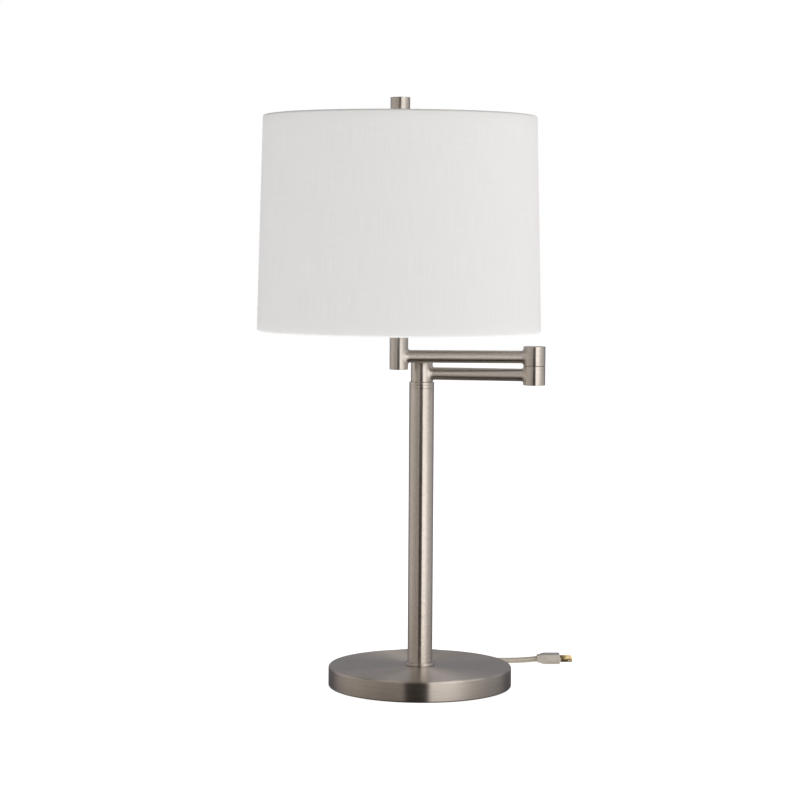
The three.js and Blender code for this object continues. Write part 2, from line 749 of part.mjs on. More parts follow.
function wireRing(height) {
  const radius = shadeRadius(height) - SHADE_WALL - GAP - RING_WIRE - 0.2;
  return turned(arc(radius, height, RING_WIRE, -90, 270, 4), RING_FACETS);
}

const ringInset = 2.6;
const topRingHeight = SHADE_TOP - ringInset;
const spiderHeight = HARP_TOP + 3.2 + GAP;
const spiderReach = shadeRadius(topRingHeight) - SHADE_WALL - GAP - 2 * RING_WIRE - 1.5;

// The spider's hub is a washer on the harp's stud, with three rods out to the top ring.
function spider() {
  const hub = disc(14, spiderHeight, spiderHeight + 2, 0.3);
  const hubMiddle = spiderHeight + 1;
  const rods = [0, 1, 2].map((i) => roundRod(SPIDER_WIRE, [
    [12.4, 0, hubMiddle],
    [40, 0, hubMiddle + 0.3],
    [spiderReach - 30, 0, topRingHeight - 0.6],
    [spiderReach, 0, topRingHeight],
  ], 6, 5).rotateZ((i * 2 * Math.PI) / 3 + Math.PI / 6));
  return cut(joined(hub, ...rods), disc(3.4, spiderHeight - 5, spiderHeight + 6, 0.1, FINE_FACETS));
}

function finial() {
  const bottom = spiderHeight + 2 + GAP;
  const edge = 0.8;
  const bore = 3.4;
  const boreTop = HARP_TOP + STUD_HEIGHT + 1;
  return turned([
    [bore, bottom],
    [FINIAL_RADIUS - edge, bottom],
    ...arc(FINIAL_RADIUS - edge, bottom + edge, edge, -90, 0, 1).slice(1),
    ...arc(FINIAL_RADIUS - edge, FINIAL_TOP - edge, edge, 0, 90, 1),
    [0, FINIAL_TOP],
    [0, boreTop],
    [bore, boreTop],
    [bore, bottom],
  ], HUB_FACETS);
}

addPart(head, "shade_cloth", shadeShell(), shadeCloth);
addPart(head, "shade_top_ring", wireRing(topRingHeight), plainSteel);
addPart(head, "shade_bottom_ring", wireRing(SHADE_BOTTOM + ringInset), plainSteel);
addPart(head, "shade_spider", spider(), plainSteel);
addPart(head, "finial", finial(), brushedNickel);

// ---------------------------------------------------------------- wires inside the lamp

const WIRE_RADIUS = 1.4;

const wireInBase = roundRod(WIRE_RADIUS, [
  onExitLine(102, CORD_EXIT_HEIGHT),
  onExitLine(99.5, CORD_EXIT_HEIGHT - 3),
  onExitLine(96.5, 6.5),
  onExitLine(88, 5.2),
  onExitLine(50, 4.6),
  onExitLine(10, 4.2),
  onExitLine(3, 3.7),
  [0, 0, 5],
  [0, 0, 9],
  [0, 0, 20],
], 6, 40);
const wireInPole = disc(WIRE_RADIUS, 18, rodTop - 0.6, 0.1, 6);
addPart(lamp, "wire_base_to_pole", joined(wireInBase, wireInPole), clearPlastic);

addPart(lowerArm, "wire_lower_arm", roundRod(WIRE_RADIUS, [
  [0, 0, 370.8],
  [14, 0, 370.6],
  [36, 0, 368],
  [LOWER_ARM_LENGTH / 2, 0, 367.2],
  [LOWER_ARM_LENGTH - 24, 0, 365.4],
  [LOWER_ARM_LENGTH - 10, 0, 364.2],
  [LOWER_ARM_LENGTH - 3, 0, 363.9],
  [LOWER_ARM_LENGTH, 0, 366],
  [LOWER_ARM_LENGTH, 0, 372],
  [LOWER_ARM_LENGTH, 0, pinTop + 0.8],
], 6, 30), clearPlastic);

addPart(upperArm, "wire_upper_arm", roundRod(WIRE_RADIUS, [
  [0, 0, 391.2],
  [14, 0, 391.0],
  [36, 0, 389],
  [UPPER_ARM_LENGTH / 2, 0, 388.6],
  [UPPER_ARM_LENGTH - 16, 0, 388.8],
  [UPPER_ARM_LENGTH - 4, 0, 390],
  [UPPER_ARM_LENGTH, 0, 396],
  [UPPER_ARM_LENGTH, 0, 420],
  [UPPER_ARM_LENGTH, 0, capTop - 1],
], 6, 30), clearPlastic);

// ---------------------------------------------------------------- cord and plug

const cordRadius = CORD_WIDTH / 2;
const cordRest = cordRadius + 0.1;
const reliefStart = BASE_RADIUS + GAP;
const reliefEnd = reliefStart + RELIEF_LENGTH;

// The strain relief: a neck through the cover's wall, a flange against it and a tapered sleeve outside.
function strainRelief() {
  const bore = 2;
  const body = turned([
    [bore, BASE_RADIUS - 5],
    [4.9, BASE_RADIUS - 5],
    [4.9, reliefStart],
    [6.8, reliefStart],
    [6.8, reliefStart + 1.4],
    [5.4, reliefStart + 2],
    [3.9, reliefEnd],
    [bore, reliefEnd],
    [bore, BASE_RADIUS - 5],
  ]);
  return alongExitLine(layAlongX(body));
}

// The lead crosses over the coil's near side and drops into its innermost turn.
const leadRoute = [
  onExitLine(reliefEnd + GAP, CORD_EXIT_HEIGHT - 0.1),
  onExitLine(139, 13.0),
  onExitLine(146, 12.0),
  onExitLine(153.5, 11.4),
];

// The tail leaves the coil's near side and runs to the plug.
const tailRoute = [
  [42.6, 125.9, cordRest],
  [53, 131.6, cordRest],
  [64, 137.7, cordRest],
  [75, 143.2, cordRest],
  [87, 147.6, cordRest],
  [100, 149.9, cordRest],
  [115, 150.9, cordRest],
  [130, 151.6, cordRest + 0.5],
  [146, 152.2, cordRest + 2],
];

const coilOuter = COIL_INNER + COIL_PITCH * COIL_TURNS;
const coilHalf = CORD_THICKNESS / 2;

function coil() {
  const edge = 1.2;
  const inner = COIL_INNER - coilHalf;
  const outer = coilOuter + coilHalf;
  const bottom = COIL_LIFT;
  const top = COIL_LIFT + CORD_WIDTH;
  return turned([
    [inner + edge, bottom],
    [outer - edge, bottom],
    [outer, bottom + edge],
    [outer, top - edge],
    [outer - edge, top],
    [inner + edge, top],
    [inner, top - edge],
    [inner, bottom + edge],
    [inner + edge, bottom],
  ], 32).translate(COIL_CENTRE.x, COIL_CENTRE.y, 0);
}

// A narrow strap round the coil's bundle, on the side away from the lead.
function coilTie() {
  const strap = 0.45;
  const inner = COIL_INNER - coilHalf - GAP;
  const outer = coilOuter + coilHalf + GAP;
  const bottom = COIL_LIFT - GAP;
  const top = COIL_LIFT + CORD_WIDTH + GAP;
  const loop = new THREE.Shape([
    new THREE.Vector2(inner - strap, bottom - strap), new THREE.Vector2(outer + strap, bottom - strap),
    new THREE.Vector2(outer + strap, top + strap), new THREE.Vector2(inner - strap, top + strap),
  ]);
  loop.holes.push(new THREE.Path([
    new THREE.Vector2(inner, bottom), new THREE.Vector2(inner, top),
    new THREE.Vector2(outer, top), new THREE.Vector2(outer, bottom),
  ]));
  return extruded(loop, -2, 2)
    .rotateX(Math.PI / 2)
    .rotateZ(THREE.MathUtils.degToRad(200))
    .translate(COIL_CENTRE.x, COIL_CENTRE.y, 0);
}

// The plug's length runs along +X: a short tapered neck and a body with rounded corners.
function plugBody() {
  const section = (halfWidth, halfHeight, corner) => {
    const shape = new THREE.Shape();
    shape.moveTo(-halfWidth + corner, -halfHeight);
    shape.lineTo(halfWidth - corner, -halfHeight);
    shape.absarc(halfWidth - corner, -halfHeight + corner, corner, -Math.PI / 2, 0, false);
    shape.absarc(halfWidth - corner, halfHeight - corner, corner, 0, Math.PI / 2, false);
    shape.absarc(-halfWidth + corner, halfHeight - corner, corner, Math.PI / 2, Math.PI, false);
    shape.absarc(-halfWidth + corner, -halfHeight + corner, corner, Math.PI, 1.5 * Math.PI, false);
    return shape;
  };
  const standUp = (geometry) => geometry.rotateX(Math.PI / 2).rotateZ(Math.PI / 2);
  const body = standUp(extruded(section(PLUG_HALF_WIDTH, PLUG_HALF_HEIGHT, 2.5), 9, PLUG_LENGTH, 3));
  const neck = layAlongX(turned([[0, 0], [4.1, 0], [5.4, 10], [0, 10]]));
  const slots = [-1, 1].map((side) => {
    const slot = new THREE.BoxGeometry(4, BLADE_THICKNESS + 2 * GAP, BLADE_WIDTH + 2 * GAP);
    return slot.translate(PLUG_LENGTH, (side * BLADE_SPACING) / 2, 0);
  });
  return cut(joined(body, neck), ...slots).translate(PLUG_START, PLUG_Y, PLUG_HEIGHT);
}

function plugBlade(side) {
  const root = PLUG_START + PLUG_LENGTH - 2 + GAP;
  return new THREE.BoxGeometry(BLADE_LENGTH, BLADE_THICKNESS, BLADE_WIDTH)
    .translate(root + BLADE_LENGTH / 2, PLUG_Y + (side * BLADE_SPACING) / 2, PLUG_HEIGHT);
}

addPart(lamp, "cord_strain_relief", strainRelief(), clearPlastic);
addPart(lamp, "cord_lead", roundRod(cordRadius, leadRoute, 8, 4), clearPlastic);
addPart(lamp, "cord_coil", coil(), clearPlastic);
addPart(lamp, "cord_tie", coilTie(), phenolic);
addPart(lamp, "cord_tail", roundRod(cordRadius, tailRoute, 8, 9), clearPlastic);
addPart(lamp, "plug_body", plugBody(), clearPlastic);
addPart(lamp, "plug_blade_1", plugBlade(-1), brass);
addPart(lamp, "plug_blade_2", plugBlade(1), brass);

export default lamp;
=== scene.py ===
"""Swing-arm table lamp, drawn over its CAD frame.

A weighted disc base carries a pole. Two arms swing on it, and the upper one ends in a stem with the lamp holder,
a harp and a drum shade. Metres, Z up; the origin is on the pole's axis, on the table.
"""

import math

import bmesh
import bpy
from mathutils import Matrix, Vector


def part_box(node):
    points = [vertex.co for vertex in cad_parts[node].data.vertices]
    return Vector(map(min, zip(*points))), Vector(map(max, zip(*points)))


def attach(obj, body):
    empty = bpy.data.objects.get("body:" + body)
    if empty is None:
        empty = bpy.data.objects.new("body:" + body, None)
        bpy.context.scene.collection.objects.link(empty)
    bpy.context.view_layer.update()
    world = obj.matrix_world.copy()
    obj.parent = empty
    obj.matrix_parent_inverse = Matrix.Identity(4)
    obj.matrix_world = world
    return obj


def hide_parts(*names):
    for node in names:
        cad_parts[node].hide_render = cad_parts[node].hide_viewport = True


bl_info = {
    "name": "Swing-Arm Table Lamp",
    "version": (1, 0, 0),
    "blender": (4, 5, 0),
    "location": "3D View > Sidebar > Lamp",
    "description": "Builds a swing-arm table lamp, piece by piece, over its CAD frame",
    "category": "Add Mesh",
}

MM = 0.001
UP = Vector((0, 0, 1))

CLEARANCE = 0.3 * MM  # between parts that touch
ROD_HOLE = 5.2 * MM  # radius of the holes that the hollow threaded rod passes
POLE_WALL = 1.2 * MM
STEM_BORE = 9.2 * MM
RELIEF_END = 132.6 * MM  # from the pole's axis to the tip of the cord's strain relief
WARM_WHITE = (1.0, 0.97, 0.94)
LEFT_RIM_SHARE = 0.7 / 1.5  # the left rim light's brightness as a share of the right one's

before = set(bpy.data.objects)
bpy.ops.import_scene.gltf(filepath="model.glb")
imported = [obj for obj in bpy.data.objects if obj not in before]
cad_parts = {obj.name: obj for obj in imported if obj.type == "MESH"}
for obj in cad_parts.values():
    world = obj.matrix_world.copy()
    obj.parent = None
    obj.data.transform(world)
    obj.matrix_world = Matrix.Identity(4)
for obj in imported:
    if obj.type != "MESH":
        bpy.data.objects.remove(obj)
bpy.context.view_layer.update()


def low(node):
    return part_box(node)[0]


def high(node):
    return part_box(node)[1]


def middle(node):
    lo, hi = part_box(node)
    return (lo + hi) / 2


def half_width(node):
    lo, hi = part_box(node)
    return (hi.x - lo.x) / 2


# The upright axes that the pieces stand on
POLE_AXIS = Vector((0, 0, 0))
ELBOW_AXIS = Vector((middle("elbow_pin").x, middle("elbow_pin").y, 0))
STEM_AXIS = Vector((middle("stem_neck").x, middle("stem_neck").y, 0))


# ---------------------------------------------------------------- settings


class LampSizes(bpy.types.PropertyGroup):
    """Sizes of the turned parts and of the wire work."""

    facets: bpy.props.IntProperty(
        name="Facets", description="Facets round a turned part", default=96, min=24, max=256
    )
    eased_edge: bpy.props.FloatProperty(
        name="Eased Edge", description="Rounding of the machined edges", default=0.35 * MM, unit="LENGTH", precision=5
    )
    base_edge: bpy.props.FloatProperty(
        name="Base Edge", description="Rounding of the base's top edge", default=3 * MM, unit="LENGTH", precision=5
    )
    cover_wall: bpy.props.FloatProperty(
        name="Cover Wall", description="Sheet thickness of the base's cover", default=1.4 * MM, unit="LENGTH",
        precision=5
    )
    hub_radius: bpy.props.FloatProperty(
        name="Hub Radius", description="Radius of the hubs at the arms' ends", default=12.7 * MM, unit="LENGTH",
        precision=5
    )
    hub_bore: bpy.props.FloatProperty(
        name="Hub Bore", description="Bore of the hubs", default=10.4 * MM, unit="LENGTH", precision=5
    )
    tube_radius: bpy.props.FloatProperty(
        name="Arm Tube Radius", description="Radius of the arms' tubes", default=7.3 * MM, unit="LENGTH", precision=5
    )
    weld_fillet: bpy.props.FloatProperty(
        name="Weld Fillet", description="Fillet where a tube meets a hub", default=2.5 * MM, unit="LENGTH", precision=5
    )
    hem: bpy.props.FloatProperty(
        name="Hem", description="Cloth turned in over the shade's ring wires", default=7 * MM, unit="LENGTH",
        precision=5
    )
    shade_taper: bpy.props.FloatProperty(
        name="Shade Taper", description="How much smaller the shade's top radius is", default=6.4 * MM, unit="LENGTH",
        precision=5
    )
    thread_pitch: bpy.props.FloatProperty(
        name="Thread Pitch", description="Pitch of the fine threads", default=0.95 * MM, unit="LENGTH", precision=5
    )


class LampFinishes(bpy.types.PropertyGroup):
    """Colours and finishes."""

    nickel: bpy.props.FloatVectorProperty(
        name="Nickel", description="Colour of the brushed nickel", subtype="COLOR", default=(0.66, 0.61, 0.56), min=0,
        max=1
    )
    nickel_roughness: bpy.props.FloatProperty(
        name="Nickel Roughness", description="Gloss of the brushed nickel", default=0.31, min=0, max=1
    )
    cloth: bpy.props.FloatVectorProperty(
        name="Shade Cloth", description="Colour of the shade", subtype="COLOR", default=(0.85, 0.85, 0.845), min=0,
        max=1
    )
    cord: bpy.props.FloatVectorProperty(
        name="Cord", description="Colour of the cord's clear jacket", subtype="COLOR", default=(0.56, 0.52, 0.46),
        min=0, max=1
    )
    conductor: bpy.props.FloatVectorProperty(
        name="Conductor", description="Colour of the wire that shows through the jacket", subtype="COLOR",
        default=(0.40, 0.31, 0.22), min=0, max=1,
    )
    # On the nickel this also sets the painted highlight along the edges' rims.
    wear: bpy.props.FloatProperty(
        name="Edge Wear", description="How far the edges are rubbed bright", default=0.35, min=0, max=1
    )
    dust: bpy.props.FloatProperty(
        name="Dust", description="Fine dust on faces that look up", default=0.05, min=0, max=1
    )


class LampCord(bpy.types.PropertyGroup):
    """The supply cord and the coil it is put away in."""

    width: bpy.props.FloatProperty(
        name="Width", description="Width of the flat cord", default=7.0 * MM, unit="LENGTH", precision=5
    )
    thickness: bpy.props.FloatProperty(
        name="Thickness", description="Thickness of the flat cord", default=3.1 * MM, unit="LENGTH", precision=5
    )
    exit_angle: bpy.props.FloatProperty(
        name="Exit Angle", description="Direction in which the cord leaves the base", default=math.radians(81),
        subtype="ANGLE"
    )
    exit_height: bpy.props.FloatProperty(
        name="Exit Height", description="Height of the cord where it leaves the base", default=13.6 * MM,
        unit="LENGTH", precision=5
    )
    coil_radius: bpy.props.FloatProperty(
        name="Coil Radius", description="Radius of the coil's innermost turn", default=27 * MM, unit="LENGTH",
        precision=5
    )
    coil_pitch: bpy.props.FloatProperty(
        name="Coil Pitch", description="Distance from one turn to the next", default=3.15 * MM, unit="LENGTH",
        precision=5
    )
    coil_turns: bpy.props.FloatProperty(
        name="Coil Turns", description="Turns in the coil", default=6.853, min=1, max=20
    )


class LampStage(bpy.types.PropertyGroup):
    """Camera, floor and studio light."""

    floor: bpy.props.FloatVectorProperty(
        name="Floor", description="Colour of the floor", subtype="COLOR", default=(0.9, 0.9, 0.9), min=0, max=1
    )
    camera_at: bpy.props.FloatVectorProperty(
        name="Camera Place", description="Where the camera stands", subtype="TRANSLATION",
        default=(-0.02517, -2.76816, 0.52868),
    )
    camera_pitch: bpy.props.FloatProperty(
        name="Camera Pitch", description="How far the camera looks down", default=0.0693, subtype="ANGLE"
    )
    camera_roll: bpy.props.FloatProperty(
        name="Camera Roll", description="Turn of the camera about its line of sight", default=0.0061, subtype="ANGLE"
    )
    lens: bpy.props.FloatProperty(
        name="Lens", description="Focal length in millimetres", default=107.1, min=10, max=400
    )
    right_box: bpy.props.FloatProperty(
        name="Right Softbox", description="Brightness of the softbox on the right", default=2.1, min=0
    )
    upper_box: bpy.props.FloatProperty(
        name="Upper Softbox", description="Brightness of the softbox overhead on the right", default=0.8, min=0
    )
    left_box: bpy.props.FloatProperty(
        name="Left Softbox", description="Brightness of the softbox on the left", default=0.72, min=0
    )
    rim_box: bpy.props.FloatProperty(
        name="Rim Softboxes", description="Brightness of the two that light only the metal's rims", default=1.5, min=0
    )
    fill: bpy.props.FloatProperty(
        name="Fill", description="Power of the soft fill that reaches only matt surfaces", default=1.0, min=0
    )


def sizes():
    return bpy.context.scene.lamp_sizes


def finishes():
    return bpy.context.scene.lamp_finishes


# ---------------------------------------------------------------- modelling steps


def deselect_all():
    if bpy.context.mode != "OBJECT":
        bpy.ops.object.mode_set(mode="OBJECT")
    bpy.ops.object.select_all(action="DESELECT")


def pick(*pieces):
    deselect_all()
    for piece in pieces:
        piece.select_set(True)
    bpy.context.view_layer.objects.active = pieces[0]


def eased(points, steps=4, closed=False):
    """Rounds an outline's corners. Each point is (radius, height) or (radius, height, rounding)."""
    outline = []
    for i, point in enumerate(points):
        corner = Vector(point[:2])
        if len(point) == 2:
            outline.append(tuple(corner))
            continue
        to_last = (Vector(points[i - 1][:2]) - corner).normalized()
        to_next = (Vector(points[(i + 1) % len(points)][:2]) - corner).normalized()
        half = to_last.angle(to_next) / 2
        centre = corner + (to_last + to_next).normalized() * (point[2] / math.sin(half))
        first = corner + to_last * (point[2] / math.tan(half)) - centre
        last = corner + to_next * (point[2] / math.tan(half)) - centre
        turn = math.copysign(math.pi - 2 * half, first.x * last.y - first.y * last.x)
        for step in range(steps + 1):
            angle = turn * step / steps
            outline.append((
                centre.x + first.x * math.cos(angle) - first.y * math.sin(angle),
                centre.y + first.x * math.sin(angle) + first.y * math.cos(angle),
            ))
    return outline + [outline[0]] if closed else outline


def turned(name, outline, facets=None):
    """Draws half a section beside the Z axis, point by point, and spins it into a solid."""
    deselect_all()
    radius, height = outline[0]
    bpy.ops.mesh.primitive_plane_add(size=MM, location=(radius, 0, height))
    piece = bpy.context.object
    piece.name = piece.data.name = name
    bpy.ops.object.mode_set(mode="EDIT")
    bpy.ops.mesh.select_mode(type="VERT")
    bpy.ops.mesh.merge(type="CENTER")
    for here, there in zip(outline, outline[1:]):
        step = (there[0] - here[0], 0, there[1] - here[1])
        bpy.ops.mesh.extrude_vertices_move(TRANSFORM_OT_translate={"value": step})
    bpy.ops.mesh.select_all(action="SELECT")
    bpy.ops.mesh.spin(steps=facets or sizes().facets, angle=2 * math.pi, center=(0, 0, 0), axis=UP)
    bpy.ops.mesh.select_all(action="SELECT")
    bpy.ops.mesh.remove_doubles(threshold=0.002 * MM)
    bpy.ops.mesh.normals_make_consistent(inside=False)
    bpy.ops.object.mode_set(mode="OBJECT")
    settle(piece)
    return piece


def settle(piece):
    """Puts a piece's place, turn and scale into its mesh."""
    pick(piece)
    bpy.ops.object.transform_apply(location=True, rotation=True, scale=True)


def move(piece, to, direction=UP, roll=0.0):
    """Moves a piece made about Z so that its axis starts at a point and lies along a direction."""
    turn = Vector(direction).to_track_quat("Z", "Y").to_matrix().to_4x4() if Vector(direction) != UP else Matrix()
    piece.matrix_world = Matrix.Translation(to) @ turn @ Matrix.Rotation(roll, 4, "Z")
    settle(piece)
    return piece


def mark_turning(piece, start, direction=UP):
    """Writes where each point lies round and along the lathe's axis, which the brushed lines follow, and the
    direction across those lines, along which they spread a highlight."""
    axis = Vector(direction).normalized()
    across = axis.orthogonal().normalized()
    third = axis.cross(across)
    values, directions = [], []
    for vertex in piece.data.vertices:
        place = vertex.co - Vector(start)
        along = place.dot(axis)
        out = place - axis * along
        radius = max(out.length, 1e-6)
        directions += (axis - out / radius)[:]
        values += [out.dot(across) / radius, out.dot(third) / radius, along - radius]
    marks = piece.data.attributes.new("turning", "FLOAT_VECTOR", "POINT")
    marks.data.foreach_set("vector", values)
    marks = piece.data.attributes.new("across", "FLOAT_VECTOR", "POINT")
    marks.data.foreach_set("vector", directions)
    return piece


def mark_edges(piece):
    """Writes how sharply the surface turns outwards at each point, where handling rubs it and where the nickel's edges
    get a painted highlight.
    """
    shape = bmesh.new()
    shape.from_mesh(piece.data)
    shape.normal_update()
    values = []
    for vertex in shape.verts:
        sharpest = max(
            (edge.calc_face_angle_signed(0) for edge in vertex.link_edges if len(edge.link_faces) == 2), default=0
        )
        values.append(min(max((math.degrees(sharpest) - 8) / 16, 0), 1))
    shape.free()
    marks = piece.data.attributes.new("edge", "FLOAT", "POINT")
    marks.data.foreach_set("value", values)


def join(name, *pieces):
    pick(*pieces)
    bpy.ops.object.join()
    piece = bpy.context.object
    piece.name = piece.data.name = name
    return piece


def cut_away(piece, cutter):
    """Takes one solid out of another."""
    pick(piece)
    cut = piece.modifiers.new("Cut", "BOOLEAN")
    cut.operation = "DIFFERENCE"
    cut.solver = "EXACT"
    cut.object = cutter
    bpy.ops.object.modifier_apply(modifier=cut.name)
    bpy.data.objects.remove(cutter, do_unlink=True)
    return piece


def bevelled(piece, width, segments=3, angle=30):
    pick(piece)
    edge = piece.modifiers.new("Edges", "BEVEL")
    edge.width, edge.segments, edge.limit_method, edge.angle_limit = width, segments, "ANGLE", math.radians(angle)
    bpy.ops.object.modifier_apply(modifier=edge.name)
    return piece


def finish_piece(piece, body, material, replaces=(), smooth=35):
    settle(piece)
    mark_edges(piece)
    pick(piece)
    bpy.ops.object.shade_smooth_by_angle(angle=math.radians(smooth))
    piece.data.materials.clear()
    piece.data.materials.append(material)
    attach(piece, body)
    if replaces:
        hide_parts(*replaces)
    return piece


def curve_through(points, spacing):
    """Evenly spaced points on a smooth curve through a few given ones."""
    points = [Vector(p) for p in points]
    ends = [2 * points[0] - points[1], *points, 2 * points[-1] - points[-2]]
    fine = []
    for a, b, c, d in zip(ends, ends[1:], ends[2:], ends[3:]):
        steps = 24
        for step in range(steps):
            t = step / steps
            fine.append(
                0.5 * (2 * b + (c - a) * t + (2 * a - 5 * b + 4 * c - d) * t**2 + (3 * b - a - 3 * c + d) * t**3)
            )
    fine.append(points[-1])
    return evenly(fine, spacing)


def length_of(path):
    return sum((b - a).length for a, b in zip(path, path[1:]))


def evenly(path, spacing):
    """The same route with its points a fixed distance apart."""
    total = length_of(path)
    count = max(2, round(total / spacing))
    placed, reached, target = [path[0].copy()], 0.0, total / count
    for a, b in zip(path, path[1:]):
        step = (b - a).length
        while step > 0 and reached + step >= target - 1e-12 and len(placed) < count:
            placed.append(a.lerp(b, (target - reached) / step))
            target += total / count
        reached += step
    placed.append(path[-1].copy())
    return placed


def swept(name, path, section, closed=False, sideways=None):
    """Draws a section of (sideways, up) points along a path and closes its ends."""
    shape = bmesh.new()
    around = shape.verts.layers.float.new("around")
    along = shape.verts.layers.float.new("along")
    rings, travelled = [], 0.0
    for i, point in enumerate(path):
        before = path[i - 1] if i or closed else point
        after = path[(i + 1) % len(path)] if i + 1 < len(path) or closed else point
        tangent = (after - before).normalized()
        side = Vector(sideways) if sideways else tangent.cross(UP)
        side = (side - tangent * side.dot(tangent)).normalized()
        rise = side.cross(tangent)
        ring = []
        for x, y in section:
            vertex = shape.verts.new(point + side * x + rise * y)
            vertex[around], vertex[along] = y, travelled
            ring.append(vertex)
        rings.append(ring)
        travelled += (path[(i + 1) % len(path)] - point).length
    for i in range(len(rings) - (0 if closed else 1)):
        ring, following = rings[i], rings[(i + 1) % len(rings)]
        for j in range(len(section)):
            k = (j + 1) % len(section)
            shape.faces.new((ring[j], ring[k], following[k], following[j]))
    if not closed:
        shape.faces.new(list(reversed(rings[0])))
        shape.faces.new(rings[-1])
    bmesh.ops.recalc_face_normals(shape, faces=shape.faces)
    mesh = bpy.data.meshes.new(name)
    shape.to_mesh(mesh)
    shape.free()
    piece = bpy.data.objects.new(name, mesh)
    bpy.context.collection.objects.link(piece)
    return piece


def round_section(radius, sides=14):
    return [
        (radius * math.cos(2 * math.pi * i / sides), radius * math.sin(2 * math.pi * i / sides)) for i in range(sides)
    ]


def threaded(radius, bottom, top, pitch, depth):
    """The outer line of a fine thread, as (radius, height) points going up."""
    turns = max(1, round((top - bottom) / pitch))
    step = (top - bottom) / turns
    line = []
    for i in range(turns):
        start = bottom + i * step
        line += [(radius - depth, start), (radius, start + step * 0.35), (radius, start + step * 0.65)]
    return line + [(radius - depth, top)]


# ---------------------------------------------------------------- shader node groups


def new_node(tree, kind, settings=None, **inputs):
    made = tree.nodes.new(kind)
    for name, value in (settings or {}).items():
        setattr(made, name, value)
    for name, value in inputs.items():
        made.inputs[name.replace("_", " ")].default_value = value
    return made


def new_group(name, inputs, outputs):
    group = bpy.data.node_groups.new(name, "ShaderNodeTree")
    for label, kind, default in inputs:
        socket = group.interface.new_socket(name=label, in_out="INPUT", socket_type=kind)
        if default is not None:
            socket.default_value = default
    for label in outputs:
        group.interface.new_socket(name=label, in_out="OUTPUT", socket_type="NodeSocketFloat")
    return group, group.nodes.new("NodeGroupInput").outputs, group.nodes.new("NodeGroupOutput").inputs


def math_node(tree, operation, first, second=None, third=None, clamp=False):
    made = tree.nodes.new("ShaderNodeMath")
    made.operation, made.use_clamp = operation, clamp
    for socket, value in zip(made.inputs, (first, second, third)):
        if isinstance(value, bpy.types.NodeSocket):
            tree.links.new(value, socket)
        elif value is not None:
            socket.default_value = value
    return made.outputs[0]


def remap(tree, value, from_low, from_high, to_low, to_high):
    made = new_node(tree, "ShaderNodeMapRange", From_Min=from_low, From_Max=from_high, To_Min=to_low, To_Max=to_high)
    tree.links.new(value, made.inputs["Value"])
    return made.outputs["Result"]


def noise(tree, vector, scale, detail=3.0, roughness=0.5):
    made = new_node(tree, "ShaderNodeTexNoise", Scale=1.0, Detail=detail, Roughness=roughness)
    if isinstance(scale, bpy.types.NodeSocket):
        tree.links.new(scale, made.inputs["Scale"])
    else:
        made.inputs["Scale"].default_value = scale
    tree.links.new(vector, made.inputs["Vector"])
    return made.outputs["Fac"]


def turning_lines_group():
    """Fine lines that a turned part's brush leaves round its axis, and the broader streaks among them."""
    name = "Turning Lines"
    if name in bpy.data.node_groups:
        return bpy.data.node_groups[name]
    group, given, out = new_group(
        name,
        [("Vector", "NodeSocketVector", None), ("Lines", "NodeSocketFloat", 3000.0), ("Drift", "NodeSocketFloat", 2.0)],
        ["Grain", "Streaks"],
    )
    for label, thinning, detail in (("Grain", 1.0, 4.0), ("Streaks", 0.16, 2.0)):
        reach = group.nodes.new("ShaderNodeCombineXYZ")
        group.links.new(given["Drift"], reach.inputs["X"])
        group.links.new(given["Drift"], reach.inputs["Y"])
        group.links.new(math_node(group, "MULTIPLY", given["Lines"], thinning), reach.inputs["Z"])
        scaled = new_node(group, "ShaderNodeVectorMath", {"operation": "MULTIPLY"})
        group.links.new(given["Vector"], scaled.inputs[0])
        group.links.new(reach.outputs[0], scaled.inputs[1])
        group.links.new(noise(group, scaled.outputs[0], 1.0, detail, 0.6), out[label])
    return group


def edge_rub_and_highlight_group():
    """Where edges are rubbed, broken up by a fine noise. On the nickel it also places a painted highlight along the
    rims.
    """
    name = "Edge Wear"
    if name in bpy.data.node_groups:
        return bpy.data.node_groups[name]
    group, given, out = new_group(
        name,
        [("Vector", "NodeSocketVector", None), ("Edge", "NodeSocketFloat", 0.0), ("Amount", "NodeSocketFloat", 0.3)],
        ["Mask"],
    )
    patches = remap(group, noise(group, given["Vector"], 260.0, 4.0, 0.6), 0.35, 0.7, 0.0, 1.0)
    worn = math_node(group, "MULTIPLY", given["Edge"], patches)
    group.links.new(math_node(group, "MULTIPLY", worn, given["Amount"], clamp=True), out["Mask"])
    return group


def dust_group():
    """A thin, uneven film on faces that look up."""
    name = "Settled Dust"
    if name in bpy.data.node_groups:
        return bpy.data.node_groups[name]
    group, given, out = new_group(
        name, [("Vector", "NodeSocketVector", None), ("Amount", "NodeSocketFloat", 0.05)], ["Mask"]
    )
    facing = group.nodes.new("ShaderNodeSeparateXYZ")
    group.links.new(group.nodes.new("ShaderNodeNewGeometry").outputs["Normal"], facing.inputs[0])
    upward = remap(group, facing.outputs["Z"], 0.3, 0.95, 0.0, 1.0)
    film = remap(group, noise(group, given["Vector"], 45.0, 5.0, 0.65), 0.3, 0.75, 0.3, 1.0)
    group.links.new(
        math_node(group, "MULTIPLY", math_node(group, "MULTIPLY", upward, film), given["Amount"], clamp=True),
        out["Mask"]
    )
    return group


def fine_grain_group():
    """An even, fine-grained surface: sand-cast, moulded, painted, plated or fibrous, by its scale."""
    name = "Fine Grain"
    if name in bpy.data.node_groups:
        return bpy.data.node_groups[name]
    group, given, out = new_group(
        name, [("Vector", "NodeSocketVector", None), ("Scale", "NodeSocketFloat", 800.0)], ["Height", "Clouds"]
    )
    group.links.new(noise(group, given["Vector"], given["Scale"], 5.0, 0.6), out["Height"])
    broad = math_node(group, "MULTIPLY", given["Scale"], 0.07)
    group.links.new(noise(group, given["Vector"], broad, 3.0, 0.55), out["Clouds"])
    return group


